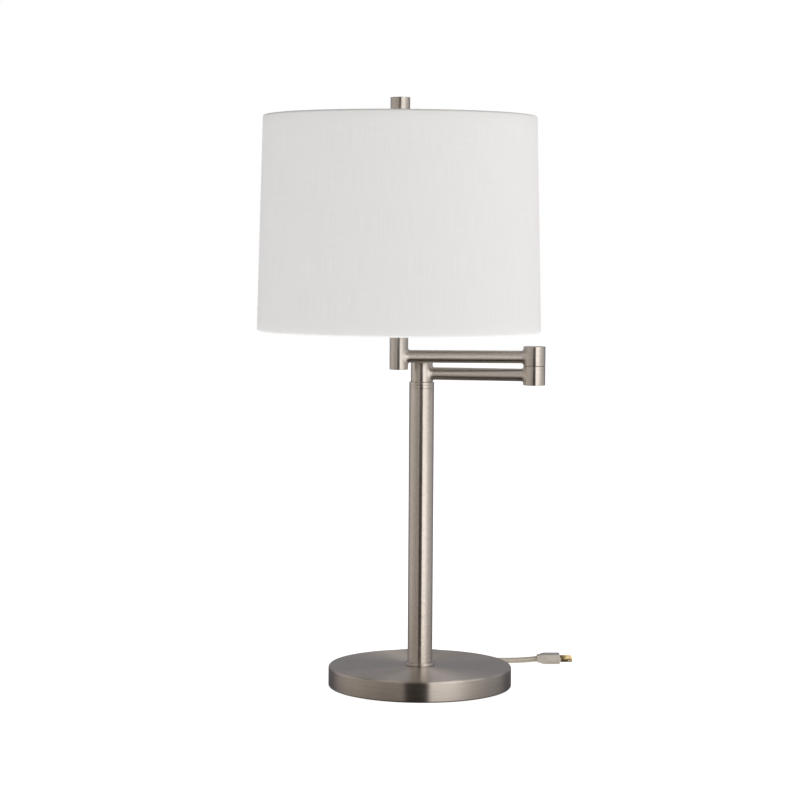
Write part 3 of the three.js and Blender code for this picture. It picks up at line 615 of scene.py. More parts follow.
def plain_weave_group():
    """A plain weave with slubs: threads over and under each other, thicker in places, and a mask of the gaps between
    them for painted shade.
    """
    name = "Plain Weave"
    if name in bpy.data.node_groups:
        return bpy.data.node_groups[name]
    group, given, out = new_group(
        name, [("Vector", "NodeSocketVector", None), ("Threads", "NodeSocketFloat", 2400.0)],
        ["Height", "Slubs", "Gap Shade"]
    )
    split = group.nodes.new("ShaderNodeSeparateXYZ")
    group.links.new(given["Vector"], split.inputs[0])
    waves = []
    for axis in ("X", "Y"):
        phase = math_node(group, "MULTIPLY", split.outputs[axis], given["Threads"])
        waves.append(math_node(group, "SINE", math_node(group, "MULTIPLY", phase, math.pi)))
    warp, weft = (math_node(group, "ABSOLUTE", wave) for wave in waves)
    over = math_node(group, "GREATER_THAN", math_node(group, "MULTIPLY", waves[0], waves[1]), 0.0)
    lower = math_node(group, "MULTIPLY", weft, 0.62)
    under = math_node(group, "MULTIPLY", warp, 0.62)
    warp_up = math_node(group, "MAXIMUM", warp, lower)
    weft_up = math_node(group, "MAXIMUM", weft, under)
    rest = math_node(group, "SUBTRACT", 1.0, over)
    height = math_node(
        group, "ADD", math_node(group, "MULTIPLY", warp_up, over), math_node(group, "MULTIPLY", weft_up, rest)
    )
    group.links.new(height, out["Height"])
    group.links.new(math_node(group, "MAXIMUM", warp, weft), out["Gap Shade"])
    streaks = []
    for stretch in ((900.0, 22.0, 1.0), (22.0, 900.0, 1.0)):
        scaled = new_node(group, "ShaderNodeVectorMath", {"operation": "MULTIPLY"})
        scaled.inputs[1].default_value = stretch
        group.links.new(given["Vector"], scaled.inputs[0])
        streaks.append(noise(group, scaled.outputs[0], 1.0, 2.0, 0.5))
    group.links.new(
        math_node(group, "ADD", math_node(group, "MULTIPLY", streaks[0], 0.65),
        math_node(group, "MULTIPLY", streaks[1], 0.35)), out["Slubs"]
    )
    return group


# ---------------------------------------------------------------- materials


class Finish:
    """A material under construction: its tree, its shader and the places that its patterns read."""

    def __init__(self, name, colour, roughness, metallic=0.0, **plain):
        self.material = bpy.data.materials.new(name)
        self.material.use_nodes = True
        self.tree = self.material.node_tree
        self.shader = self.tree.nodes["Principled BSDF"]
        self.material.diffuse_color = (*colour, 1)
        self.shader.inputs["Base Color"].default_value = (*colour, 1)
        self.shader.inputs["Roughness"].default_value = roughness
        self.shader.inputs["Metallic"].default_value = metallic
        for label, value in plain.items():
            self.shader.inputs[label.replace("_", " ")].default_value = value
        self.place = self.tree.nodes.new("ShaderNodeTexCoord").outputs["Object"]

    def marks(self, name, output="Fac"):
        made = new_node(self.tree, "ShaderNodeAttribute", {"attribute_name": name})
        return made.outputs[output]

    def group(self, group, vector=None, **inputs):
        made = new_node(self.tree, "ShaderNodeGroup", {"node_tree": group})
        self.tree.links.new(vector or self.place, made.inputs["Vector"])
        for label, value in inputs.items():
            if isinstance(value, bpy.types.NodeSocket):
                self.tree.links.new(value, made.inputs[label])
            else:
                made.inputs[label].default_value = value
        return made.outputs

    def mix(self, share, first, second):
        made = new_node(self.tree, "ShaderNodeMix", {"data_type": "RGBA"})
        self.tree.links.new(share, made.inputs["Factor"])
        for socket, value in ((made.inputs["A"], first), (made.inputs["B"], second)):
            if isinstance(value, bpy.types.NodeSocket):
                self.tree.links.new(value, socket)
            else:
                socket.default_value = (*value, 1)
        return made.outputs["Result"]

    def colour(self, socket):
        self.tree.links.new(socket, self.shader.inputs["Base Color"])

    def roughness(self, socket):
        self.tree.links.new(socket, self.shader.inputs["Roughness"])

    def bump(self, height, depth, strength=1.0):
        made = new_node(self.tree, "ShaderNodeBump", Strength=strength, Distance=depth)
        self.tree.links.new(height, made.inputs["Height"])
        self.tree.links.new(made.outputs["Normal"], self.shader.inputs["Normal"])


def shaded(colour, factor):
    return tuple(min(c * factor, 1.0) for c in colour)


def brushed_nickel():
    if "Brushed Nickel" in bpy.data.materials:
        return bpy.data.materials["Brushed Nickel"]
    look = finishes()
    colour = tuple(look.nickel)
    made = Finish("Brushed Nickel", colour, look.nickel_roughness, 1.0, Anisotropic=1.0)
    tree = made.tree
    spread = new_node(
        tree, "ShaderNodeVectorTransform", {"vector_type": "VECTOR", "convert_from": "OBJECT", "convert_to": "WORLD"}
    )
    tree.links.new(made.marks("across", "Vector"), spread.inputs[0])
    tree.links.new(spread.outputs[0], made.shader.inputs["Tangent"])
    lines = made.group(turning_lines_group(), made.marks("turning", "Vector"), Lines=2600.0, Drift=2.2)
    worn = made.group(edge_rub_and_highlight_group(), Edge=made.marks("edge"), Amount=look.wear)["Mask"]
    dust = made.group(dust_group(), Amount=look.dust)["Mask"]
    tone = remap(tree, lines["Streaks"], 0.3, 0.7, 0.0, 1.0)
    toned = made.mix(tone, shaded(colour, 0.93), shaded(colour, 1.05))
    scored = made.mix(
        math_node(tree, "MULTIPLY", remap(tree, lines["Grain"], 0.62, 0.8, 0.0, 1.0), 0.35), toned,
        shaded(colour, 0.72)
    )
    # The nickel's convex edges are drawn 1.2 times brighter: partly rubbed wear, partly a painted highlight along the
    # rims.
    rubbed_and_rim_highlit = made.mix(worn, scored, shaded(colour, 1.2))
    made.colour(made.mix(dust, rubbed_and_rim_highlit, (0.55, 0.53, 0.5)))
    rough = remap(tree, lines["Grain"], 0.3, 0.7, look.nickel_roughness - 0.03, look.nickel_roughness + 0.03)
    rough = math_node(tree, "SUBTRACT", rough, math_node(tree, "MULTIPLY", worn, 0.1))
    made.roughness(math_node(tree, "ADD", rough, math_node(tree, "MULTIPLY", dust, 0.5), clamp=True))
    made.bump(lines["Grain"], 0.003 * MM, 0.15)
    return made.material


def grained(name, colour, roughness, scale, depth, spread=0.12, metallic=0.0, dusty=0.0, **plain):
    """A finish with an even grain, cloudy colour and edges that are a little rubbed."""
    if name in bpy.data.materials:
        return bpy.data.materials[name]
    made = Finish(name, colour, roughness, metallic, **plain)
    tree = made.tree
    grain = made.group(fine_grain_group(), Scale=scale)
    worn = made.group(edge_rub_and_highlight_group(), Edge=made.marks("edge"), Amount=finishes().wear)["Mask"]
    dust = made.group(dust_group(), Amount=dusty)["Mask"]
    clouded = made.mix(
        remap(tree, grain["Clouds"], 0.3, 0.7, 0.0, 1.0), shaded(colour, 1 - spread), shaded(colour, 1 + spread)
    )
    rubbed = made.mix(worn, clouded, shaded(colour, 1.35))
    made.colour(made.mix(dust, rubbed, (0.5, 0.48, 0.45)))
    made.roughness(remap(tree, grain["Height"], 0.25, 0.75, max(roughness - 0.07, 0.03), min(roughness + 0.07, 1.0)))
    made.bump(grain["Height"], depth, 0.7)
    return made.material


def plain_steel():
    return grained("Zinc-Plated Steel", (0.56, 0.56, 0.55), 0.38, 900.0, 0.02 * MM, 0.1, 1.0)


def cast_iron():
    return grained("Cast Iron", (0.075, 0.07, 0.065), 0.78, 700.0, 0.35 * MM, 0.3, 0.7, dusty=0.25)


def brass():
    return grained("Stamped Brass", (0.68, 0.53, 0.27), 0.3, 1100.0, 0.01 * MM, 0.1, 1.0)


def felt():
    return grained(
        "Black Felt", (0.03, 0.03, 0.031), 0.95, 2600.0, 0.3 * MM, 0.35, dusty=0.1, Sheen_Weight=0.35,
        Sheen_Roughness=0.6
    )


def nylon():
    return grained("Natural Nylon", (0.8, 0.78, 0.71), 0.5, 600.0, 0.01 * MM, 0.03)


def insulating_paper():
    return grained("Insulating Paper", (0.66, 0.58, 0.43), 0.9, 1500.0, 0.04 * MM, 0.12)


def black_plastic():
    return grained("Black Moulded Plastic", (0.026, 0.024, 0.023), 0.42, 1300.0, 0.012 * MM, 0.12)


def white_paint():
    return grained(
        "White Enamel", (0.82, 0.81, 0.79), 0.35, 380.0, 0.03 * MM, 0.03, Coat_Weight=0.4, Coat_Roughness=0.15
    )


def frosted_glass():
    if "Frosted Glass" in bpy.data.materials:
        return bpy.data.materials["Frosted Glass"]
    made = Finish("Frosted Glass", (0.95, 0.94, 0.9), 0.45, 0.0, Transmission_Weight=0.35, IOR=1.5)
    tree = made.tree
    grain = made.group(fine_grain_group(), Scale=1600.0)
    made.colour(made.mix(remap(tree, grain["Clouds"], 0.3, 0.7, 0.0, 1.0), (0.93, 0.92, 0.87), (0.97, 0.965, 0.94)))
    made.roughness(remap(tree, grain["Height"], 0.3, 0.7, 0.36, 0.52))
    made.bump(grain["Height"], 0.01 * MM, 0.5)
    return made.material


def clear_cord():
    """Clear jacket with the two stranded wires showing through it as darker bands."""
    if "Clear Twin Cord" in bpy.data.materials:
        return bpy.data.materials["Clear Twin Cord"]
    look = finishes()
    jacket, wire = tuple(look.cord), tuple(look.conductor)
    made = Finish("Clear Twin Cord", jacket, 0.3, Coat_Weight=0.5, Coat_Roughness=0.1, Subsurface_Weight=0.15)
    made.shader.inputs["Subsurface Radius"].default_value = (1.2 * MM, 1.0 * MM, 0.8 * MM)
    tree = made.tree
    section = bpy.context.scene.lamp_cord
    core = (section.width - section.thickness) / 2
    off_core = math_node(
        tree, "ABSOLUTE", math_node(tree, "SUBTRACT", math_node(tree, "ABSOLUTE", made.marks("around")), core)
    )
    band = remap(tree, off_core, 0.35 * MM, 0.95 * MM, 1.0, 0.0)
    twist = new_node(tree, "ShaderNodeCombineXYZ")
    tree.links.new(made.marks("along"), twist.inputs["X"])
    tree.links.new(math_node(tree, "MULTIPLY", made.marks("around"), 2.5), twist.inputs["Y"])
    strands = noise(tree, twist.outputs[0], 900.0, 2.0, 0.5)
    shown = math_node(tree, "MULTIPLY", band, remap(tree, strands, 0.3, 0.7, 0.55, 1.0))
    clouds = made.group(fine_grain_group(), Scale=900.0)
    body = made.mix(remap(tree, clouds["Clouds"], 0.3, 0.7, 0.0, 1.0), shaded(jacket, 0.93), shaded(jacket, 1.06))
    made.colour(made.mix(shown, body, wire))
    made.roughness(remap(tree, clouds["Height"], 0.3, 0.7, 0.24, 0.36))
    made.bump(clouds["Height"], 0.02 * MM, 0.4)
    return made.material


def shade_cloth():
    if "White Shade Cloth" in bpy.data.materials:
        return bpy.data.materials["White Shade Cloth"]
    colour = tuple(finishes().cloth)
    made = Finish("White Shade Cloth", colour, 0.85, Sheen_Weight=0.12, Sheen_Roughness=0.5, Subsurface_Weight=0.08)
    made.shader.inputs["Subsurface Radius"].default_value = (1.5 * MM, 1.4 * MM, 1.2 * MM)
    tree = made.tree
    threads = made.tree.nodes.new("ShaderNodeUVMap")
    threads.uv_map = "cloth"
    weave = made.group(plain_weave_group(), threads.outputs[0], Threads=2300.0)
    slubs = remap(tree, weave["Slubs"], 0.35, 0.65, 0.0, 1.0)
    toned = made.mix(slubs, shaded(colour, 0.965), shaded(colour, 1.02))
    # The gaps between the threads are drawn darker: painted shade.
    made.colour(made.mix(remap(tree, weave["Gap Shade"], 0.2, 0.7, 0.5, 0.0), toned, shaded(colour, 0.8)))
    made.roughness(remap(tree, weave["Slubs"], 0.3, 0.7, 0.8, 0.92))
    thick = math_node(tree, "ADD", weave["Height"], math_node(tree, "MULTIPLY", weave["Slubs"], 1.5))
    made.bump(thick, 0.09 * MM, 0.7)
    return made.material


# ---------------------------------------------------------------- cord


def exit_line(distance, height):
    """A point on the line along which the cord leaves the base."""
    cord = bpy.context.scene.lamp_cord
    return Vector((distance * math.cos(cord.exit_angle), distance * math.sin(cord.exit_angle), height))


def coil_point(angle, turns_done, height):
    cord = bpy.context.scene.lamp_cord
    radius = cord.coil_radius + cord.coil_pitch * turns_done
    centre = middle("cord_coil")
    return Vector((centre.x + radius * math.cos(angle), centre.y + radius * math.sin(angle), height))


def cord_route():
    """Straight out of the base, down into the coil's innermost turn, round the coil and along the table to the plug."""
    cord = bpy.context.scene.lamp_cord
    lying = cord.width / 2 + 0.1 * MM
    coil_height = middle("cord_coil").z
    lead = [
        exit_line(RELIEF_END - 2 * MM, cord.exit_height),
        exit_line(RELIEF_END + CLEARANCE, cord.exit_height - 0.1 * MM),
        exit_line(139 * MM, 13.0 * MM),
        exit_line(146 * MM, 12.0 * MM),
        exit_line(152 * MM, 11.5 * MM),
    ]
    turns = []
    first, steps = math.radians(-9), 14 * 20
    for i in range(steps + 1):
        done = cord.coil_turns * i / steps
        fall = min(done / 0.36, 1.0)
        fall = fall * fall * (3 - 2 * fall)
        height = 11.2 * MM + (coil_height - 11.2 * MM) * fall
        if i == steps:
            height = coil_height - 0.2 * MM
        turns.append(coil_point(first + 2 * math.pi * done, done, height))
    tail = [Vector((x * MM, y * MM, z)) for x, y, z in (
        (31, 121.0, lying + 0.2 * MM), (42.6, 125.9, lying), (53, 131.6, lying), (64, 137.7, lying), (75, 143.2, lying),
        (87, 147.6, lying), (100, 149.9, lying), (115, 150.9, lying), (130, 151.6, lying + 0.5 * MM),
        (146, 152.2, lying + 2 * MM), (150, 152.3, lying + 2.3 * MM),
    )]
    return curve_through([*lead, *turns, *tail], 2.4 * MM)


def twin_section(width, thickness):
    """Two round jackets side by side, joined by a narrow web; the width stands upright."""
    radius = thickness / 2
    core = width / 2 - radius
    half = []
    for i in range(9):
        angle = math.radians(-52 + 284 * i / 8)
        half.append((radius * math.cos(angle), core + radius * math.sin(angle)))
    web = radius * 0.42
    lower = [(-x, -y) for x, y in half]
    return [*half, (-web, 0.0), *lower, (web, 0.0)]


def make_cord():
    cord = bpy.context.scene.lamp_cord
    route = cord_route()
    lead = swept("power_cord", route, twin_section(cord.width, cord.thickness))
    finish_piece(lead, "base", clear_cord(), ("cord_lead", "cord_coil", "cord_tail"), smooth=60)

    relief = turned("cord_relief", eased([
        (0, 102 * MM), (4.9 * MM, 102 * MM, 0.3 * MM), (4.9 * MM, 107.6 * MM), (6.8 * MM, 107.6 * MM, 0.3 * MM),
        (6.8 * MM, 109.0 * MM, 0.4 * MM), (5.5 * MM, 109.8 * MM, 0.4 * MM),
        *[point for i in range(4) for point in (
            (5.25 * MM - 0.26 * MM * i, 112.2 * MM + 4.4 * MM * i, 0.2 * MM),
            (4.45 * MM - 0.2 * MM * i, 112.7 * MM + 4.4 * MM * i, 0.2 * MM),
            (4.4 * MM - 0.2 * MM * i, 114.0 * MM + 4.4 * MM * i, 0.2 * MM),
            (5.1 * MM - 0.26 * MM * i, 114.5 * MM + 4.4 * MM * i, 0.2 * MM),
        )],
        (3.9 * MM, RELIEF_END, 0.4 * MM), (0, RELIEF_END),
    ], steps=3), 40)
    move(relief, (0, 0, cord.exit_height), exit_line(1, 0))
    finish_piece(relief, "base", clear_cord(), ("cord_strain_relief",))

    tie = make_tie()
    plug = make_plug()
    blades = [make_blade(number) for number in (1, 2)]
    finish_piece(plug, "base", clear_cord(), ("plug_body",))


def make_tie():
    """A narrow strap drawn round the coil's bundle, with a buckle on top."""
    cord = bpy.context.scene.lamp_cord
    centre = middle("cord_coil")
    outer = half_width("cord_coil")
    inner = cord.coil_radius - cord.thickness / 2
    out = Vector((math.cos(math.radians(200)), math.sin(math.radians(200)), 0))
    bottom, top = low("cord_coil").z - 0.5 * MM, high("cord_coil").z + 0.5 * MM
    corners = [(inner - 0.5 * MM, bottom), (outer + 0.5 * MM, bottom), (outer + 0.5 * MM, top), (inner - 0.5 * MM, top)]
    loop = eased([(a, b, 1.2 * MM) for a, b in corners], steps=5)
    path = [Vector((centre.x, centre.y, 0)) + out * reach + UP * height for reach, height in loop]
    across = out.cross(UP)
    strap = [(-2.0 * MM, -0.22 * MM), (2.0 * MM, -0.22 * MM), (2.0 * MM, 0.22 * MM), (-2.0 * MM, 0.22 * MM)]
    band = swept("coil_tie", path, strap, closed=True, sideways=across)
    deselect_all()
    bpy.ops.mesh.primitive_cube_add(size=1)
    buckle = bpy.context.object
    buckle.scale = (5.5 * MM, 5.2 * MM, 1.3 * MM)
    settle(buckle)
    bevelled(buckle, 0.4 * MM)
    buckle.matrix_world = (
        Matrix.Translation(Vector((centre.x, centre.y, top + 0.5 * MM)) + out * (inner + outer) / 2)
        @ Matrix.Rotation(math.radians(200), 4, "Z")
    )
    settle(buckle)
    tie = join("coil_tie", band, buckle)
    return finish_piece(tie, "base", black_plastic(), ("cord_tie",))


def make_plug():
    """A moulded two-blade plug: a block drawn out of a cube, tapered to the cord, with finger grips."""
    lo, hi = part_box("plug_body")
    centre = (lo + hi) / 2
    deselect_all()
    bpy.ops.mesh.primitive_cube_add(size=1, location=(hi.x - 9.5 * MM, centre.y, centre.z))
    plug = bpy.context.object
    plug.name = plug.data.name = "plug_body_moulded"
    plug.scale = (19 * MM, hi.y - lo.y, hi.z - lo.z)
    settle(plug)
    bpy.ops.object.mode_set(mode="EDIT")
    rear = (
        (3.5, 0.86, 0.9), (2.5, 0.8, 0.85), (3.0, 0.84, 0.92),
    )
    select_faces(plug, lambda face: face.normal.x < -0.9)
    for distance, wide, tall in rear:
        bpy.ops.mesh.extrude_region_move(TRANSFORM_OT_translate={"value": (-distance * MM, 0, 0)})
        bpy.ops.transform.resize(value=(1, wide, tall), center_override=(lo.x, centre.y, centre.z))
    select_faces(plug, lambda face: face.normal.x > 0.9)
    bpy.ops.mesh.inset(thickness=1.6 * MM)
    bpy.ops.mesh.extrude_region_move(TRANSFORM_OT_translate={"value": (-0.6 * MM, 0, 0)})
    select_faces(plug, lambda face: abs(face.normal.y) > 0.9 and face.calc_center_median().x > hi.x - 15 * MM)
    bpy.ops.mesh.inset(thickness=2.0 * MM, use_individual=True)
    bpy.ops.mesh.extrude_region_shrink_fatten(TRANSFORM_OT_shrink_fatten={"value": -0.9 * MM})
    bpy.ops.mesh.select_all(action="SELECT")
    bpy.ops.mesh.normals_make_consistent(inside=False)
    bpy.ops.object.mode_set(mode="OBJECT")
    bevelled(plug, 1.3 * MM, 4, 25)
    return plug


def select_faces(piece, wanted):
    """Selects the faces that a rule names, in edit mode."""
    bpy.ops.mesh.select_all(action="DESELECT")
    bpy.ops.mesh.select_mode(type="FACE")
    shape = bmesh.from_edit_mesh(piece.data)
    for face in shape.faces:
        face.select_set(wanted(face))
    bmesh.update_edit_mesh(piece.data)


def make_blade(number):
    """A flat plug blade with a rounded tip and a hole near it."""
    lo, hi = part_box(f"plug_blade_{number}")
    centre = (lo + hi) / 2
    deselect_all()
    bpy.ops.mesh.primitive_cube_add(size=1, location=centre)
    blade = bpy.context.object
    blade.name = blade.data.name = f"plug_blade_stamped_{number}"
    blade.scale = (hi.x - lo.x, hi.y - lo.y, hi.z - lo.z)
    settle(blade)
    bpy.ops.object.mode_set(mode="EDIT")
    select_faces(blade, lambda face: face.normal.x > 0.9)
    bpy.ops.mesh.extrude_region_move(TRANSFORM_OT_translate={"value": (0, 0, 0)})
    bpy.ops.transform.resize(value=(1, 0.45, 0.6), center_override=centre)
    shape = bmesh.from_edit_mesh(blade.data)
    for face in shape.faces:
        if not face.select and abs(face.normal.y) > 0.9:
            for vertex in face.verts:
                if vertex.co.x > hi.x - 0.01 * MM:
                    vertex.co.x = hi.x - 1.2 * MM
    bmesh.update_edit_mesh(blade.data)
    bpy.ops.mesh.select_all(action="SELECT")
    bpy.ops.mesh.normals_make_consistent(inside=False)
    bpy.ops.object.mode_set(mode="OBJECT")
    bevelled(blade, 0.15 * MM, 2)
    deselect_all()
    bpy.ops.mesh.primitive_cylinder_add(
        vertices=24, radius=1.5 * MM, depth=6 * MM, location=(hi.x - 4.2 * MM, centre.y, centre.z),
        rotation=(math.pi / 2, 0, 0)
    )
    cut_away(blade, bpy.context.object)
    return finish_piece(blade, "base", brass(), (f"plug_blade_{number}",))


# ---------------------------------------------------------------- base and pole


def make_base():
    size = sizes()
    radius, wall, edge = half_width("base_cover"), size.cover_wall, size.base_edge
    lip, top = low("base_cover").z, high("base_cover").z
    hole = ROD_HOLE
    cover = turned("base_cover_spun", eased([
        (hole, top - wall), (radius - wall, top - wall, edge - wall), (radius - wall, lip + wall, 1.2 * MM),
        (radius - 4.4 * MM, lip + wall, 0.4 * MM), (radius - 4.4 * MM, lip, 0.4 * MM), (radius, lip, 2.2 * MM),
        (radius, top, edge), (hole, top, 0.3 * MM),
    ], steps=10, closed=True), 192)
    deselect_all()
    bpy.ops.mesh.primitive_cylinder_add(vertices=32, radius=ROD_HOLE, depth=14 * MM)
    opening = move(bpy.context.object, exit_line(radius, bpy.context.scene.lamp_cord.exit_height), exit_line(1, 0))
    cut_away(cover, opening)
    mark_turning(cover, POLE_AXIS)
    finish_piece(cover, "base", brushed_nickel(), ("base_cover",))

    pad_lo, pad_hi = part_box("base_pad")
    pad = turned("base_felt", eased([
        (0, pad_lo.z), (half_width("base_pad"), pad_lo.z, 0.5 * MM), (half_width("base_pad"), pad_hi.z, 0.7 * MM),
        (0, pad_hi.z),
    ]), 128)
    finish_piece(pad, "base", felt(), ("base_pad",))


def make_pole():
    size = sizes()
    ease = size.eased_edge
    radius = half_width("pole_tube")
    bottom, top = low("pole_tube").z, high("pole_tube").z
    wall = POLE_WALL
    tube = turned("pole_tube_drawn", eased([
        (radius - wall, bottom), (radius, bottom), (radius, top, 0.12 * MM), (radius - wall, top),
    ], closed=True))
    mark_turning(tube, POLE_AXIS)
    finish_piece(tube, "base", brushed_nickel(), ("pole_tube",))

    ring_radius, ring_bottom, ring_top = half_width("foot_ring"), low("foot_ring").z, high("foot_ring").z
    ring = turned("foot_ring_turned", eased([
        (radius + 0.2 * MM, ring_bottom), (ring_radius, ring_bottom, 0.25 * MM), (ring_radius, ring_top, 1.5 * MM),
        (radius + 0.2 * MM, ring_top, 0.3 * MM),
    ], steps=6, closed=True))
    mark_turning(ring, POLE_AXIS)
    finish_piece(ring, "base", brushed_nickel(), ("foot_ring",))

    cap_bottom, cap_top = top + CLEARANCE, high("pole_cap").z
    groove = (cap_bottom + cap_top) / 2
    spigot = radius - wall - CLEARANCE
    recess = cap_top - 1 * MM
    cap = turned("pole_cap_turned", eased([
        (ROD_HOLE, low("pole_cap").z), (spigot, low("pole_cap").z, 0.3 * MM), (spigot, cap_bottom),
        (radius, cap_bottom, 0.12 * MM),
        (radius, groove - 0.45 * MM, 0.12 * MM), (radius - 0.35 * MM, groove - 0.15 * MM),
        (radius - 0.35 * MM, groove + 0.15 * MM),
        (radius, groove + 0.45 * MM, 0.12 * MM), (radius, cap_top, ease), (size.hub_bore, cap_top, 0.2 * MM),
        (size.hub_bore, recess), (ROD_HOLE, recess),
    ], steps=3, closed=True))
    mark_turning(cap, POLE_AXIS)
    finish_piece(cap, "base", brushed_nickel(), ("pole_cap",))


# ---------------------------------------------------------------- arms


def hub(name, axis, bottom, top, open_at_top):
    """A hub with a web across one end and a bore from the other."""
    size = sizes()
    radius, bore, ease = size.hub_radius, size.hub_bore, size.eased_edge
    web, rod = 3.5 * MM, ROD_HOLE
    if open_at_top:
        points = [
            (rod, bottom), (radius, bottom, ease), (radius, top, ease), (bore, top, 0.15 * MM), (bore, bottom + web),
            (rod, bottom + web),
        ]
    else:
        points = [
            (rod, top - web), (bore, top - web), (bore, bottom, 0.15 * MM), (radius, bottom, ease),
            (radius, top, ease), (rod, top),
        ]
    piece = turned(name, eased(points, closed=True))
    move(piece, axis)
    return mark_turning(piece, axis)


def arm_tube(name, first_axis, first_radius, last_axis, last_radius, height):
    """A tube between two upright hubs, flared at both ends and seated on their round walls."""
    size = sizes()
    radius, fillet = size.tube_radius, size.weld_fillet
    length = (last_axis - first_axis).length
    steps = 8

    def flare(step):
        angle = math.pi / 2 * step / steps
        return fillet * (1 - math.sin(angle)), fillet * (1 - math.cos(angle))

    start, end = first_radius, length - last_radius
    outline = [(0, start - CLEARANCE), (radius + fillet, start - CLEARANCE)]
    for step in range(steps + 1):
        back, out = flare(step)
        outline.append((radius + back, start + out))
    for step in range(steps, -1, -1):
        back, out = flare(step)
        outline.append((radius + back, end - out))
    outline += [(radius + fillet, end + CLEARANCE), (0, end + CLEARANCE)]
    piece = turned(name, outline, 72)
    seat = fillet * 1.02
    for vertex in piece.data.vertices:
        across, along = vertex.co.y, vertex.co.z
        near = min(max((start + seat - along) / seat, 0), 1)
        far = min(max((along - (end - seat)) / seat, 0), 1)
        for share, hub_radius, sign in ((near, first_radius, -1), (far, last_radius, 1)):
            if share:
                drop = hub_radius - math.sqrt(max(hub_radius**2 - across**2, 0))
                vertex.co.z += sign * drop * share
    direction = (last_axis - first_axis).normalized()
    place = first_axis + UP * height
    turn = Matrix((-UP, UP.cross(direction), direction)).transposed().to_4x4()
    piece.matrix_world = Matrix.Translation(place) @ turn
    settle(piece)
    return mark_turning(piece, place, direction)


def hub_cap(name, node, body):
    """The disc pressed into a hub's open end."""
    lo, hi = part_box(node)
    radius = min(hi.x - lo.x, hi.y - lo.y) / 2 + 0.1 * MM
    centre = (lo + hi) / 2
    cap = turned(name, eased([
        (0, lo.z), (radius, lo.z, 0.25 * MM), (radius, hi.z, 0.25 * MM), (0, hi.z),
    ]), 72)
    axis = Vector((centre.x, centre.y, 0))
    move(cap, axis)
    mark_turning(cap, axis)
    finish_piece(cap, body, brushed_nickel(), (node,))


def make_arms():
    size = sizes()
    lower_height, upper_height = middle("lower_arm_tube").z, middle("upper_arm_tube").z
    lower = join(
        "lower_arm",
        hub("pole_hub_part", POLE_AXIS, low("pole_hub").z, high("pole_hub").z, True),
        arm_tube("lower_tube_part", POLE_AXIS, size.hub_radius, ELBOW_AXIS, size.hub_radius, lower_height),
        hub("elbow_hub_part", ELBOW_AXIS, low("lower_elbow_hub").z, high("lower_elbow_hub").z, False),
    )
    finish_piece(
        lower, "lower_arm", brushed_nickel(), ("pole_hub", "lower_arm_tube", "lower_elbow_hub")
    )

    stem_radius, stem_bottom, stem_top = half_width("stem_neck"), low("stem_tube").z, high("stem_tube").z
    stem = turned("stem_part", eased([
        (STEM_BORE, stem_bottom), (stem_radius, stem_bottom, size.eased_edge), (stem_radius, stem_top, 0.25 * MM),
        (STEM_BORE, stem_top),
    ], closed=True))
    move(stem, STEM_AXIS)
    mark_turning(stem, STEM_AXIS)
    upper = join(
        "upper_arm",
        hub("upper_hub_part", ELBOW_AXIS, low("upper_elbow_hub").z, high("upper_elbow_hub").z, True),
        arm_tube("upper_tube_part", ELBOW_AXIS, size.hub_radius, STEM_AXIS, stem_radius, upper_height),
        stem,
    )
    finish_piece(
        upper, "upper_arm", brushed_nickel(), ("upper_elbow_hub", "upper_arm_tube", "stem_tube")
    )

    hub_cap("pole_hub_disc", "pole_hub_cap", "lower_arm")
    hub_cap("elbow_bottom_disc", "elbow_bottom_cap", "lower_arm")
    hub_cap("elbow_top_disc", "elbow_top_cap", "upper_arm")
    hub_cap("stem_bottom_disc", "stem_bottom_cap", "upper_arm")

    plug_radius = STEM_BORE - CLEARANCE
    neck_bottom, neck_top = stem_top + CLEARANCE, high("stem_neck").z
    neck = turned("stem_neck_turned", eased([
        (ROD_HOLE, low("stem_neck").z), (plug_radius, low("stem_neck").z, 0.3 * MM), (plug_radius, neck_bottom),
        (stem_radius, neck_bottom, 0.25 * MM), (stem_radius, neck_top, 1.4 * MM), (ROD_HOLE, neck_top, 0.2 * MM),
    ], closed=True))
    move(neck, STEM_AXIS)
    mark_turning(neck, STEM_AXIS)
    finish_piece(neck, "upper_arm", brushed_nickel(), ("stem_neck",))


# ---------------------------------------------------------------- lamp holder and bulb


def on_stem(name, outline, body, material, replaces, facets=None, lines=False):
    piece = turned(name, outline, facets)
    move(piece, STEM_AXIS)
    if lines:
        mark_turning(piece, STEM_AXIS)
    return finish_piece(piece, body, material, replaces)


def rolled_thread(mean, bottom, pitch, count):
    """Points along the profile of a thread rolled in sheet, eight to a turn."""
    return [(mean + 0.4 * MM * math.cos(2 * math.pi * i / 8), bottom + pitch * i / 8) for i in range(count)]


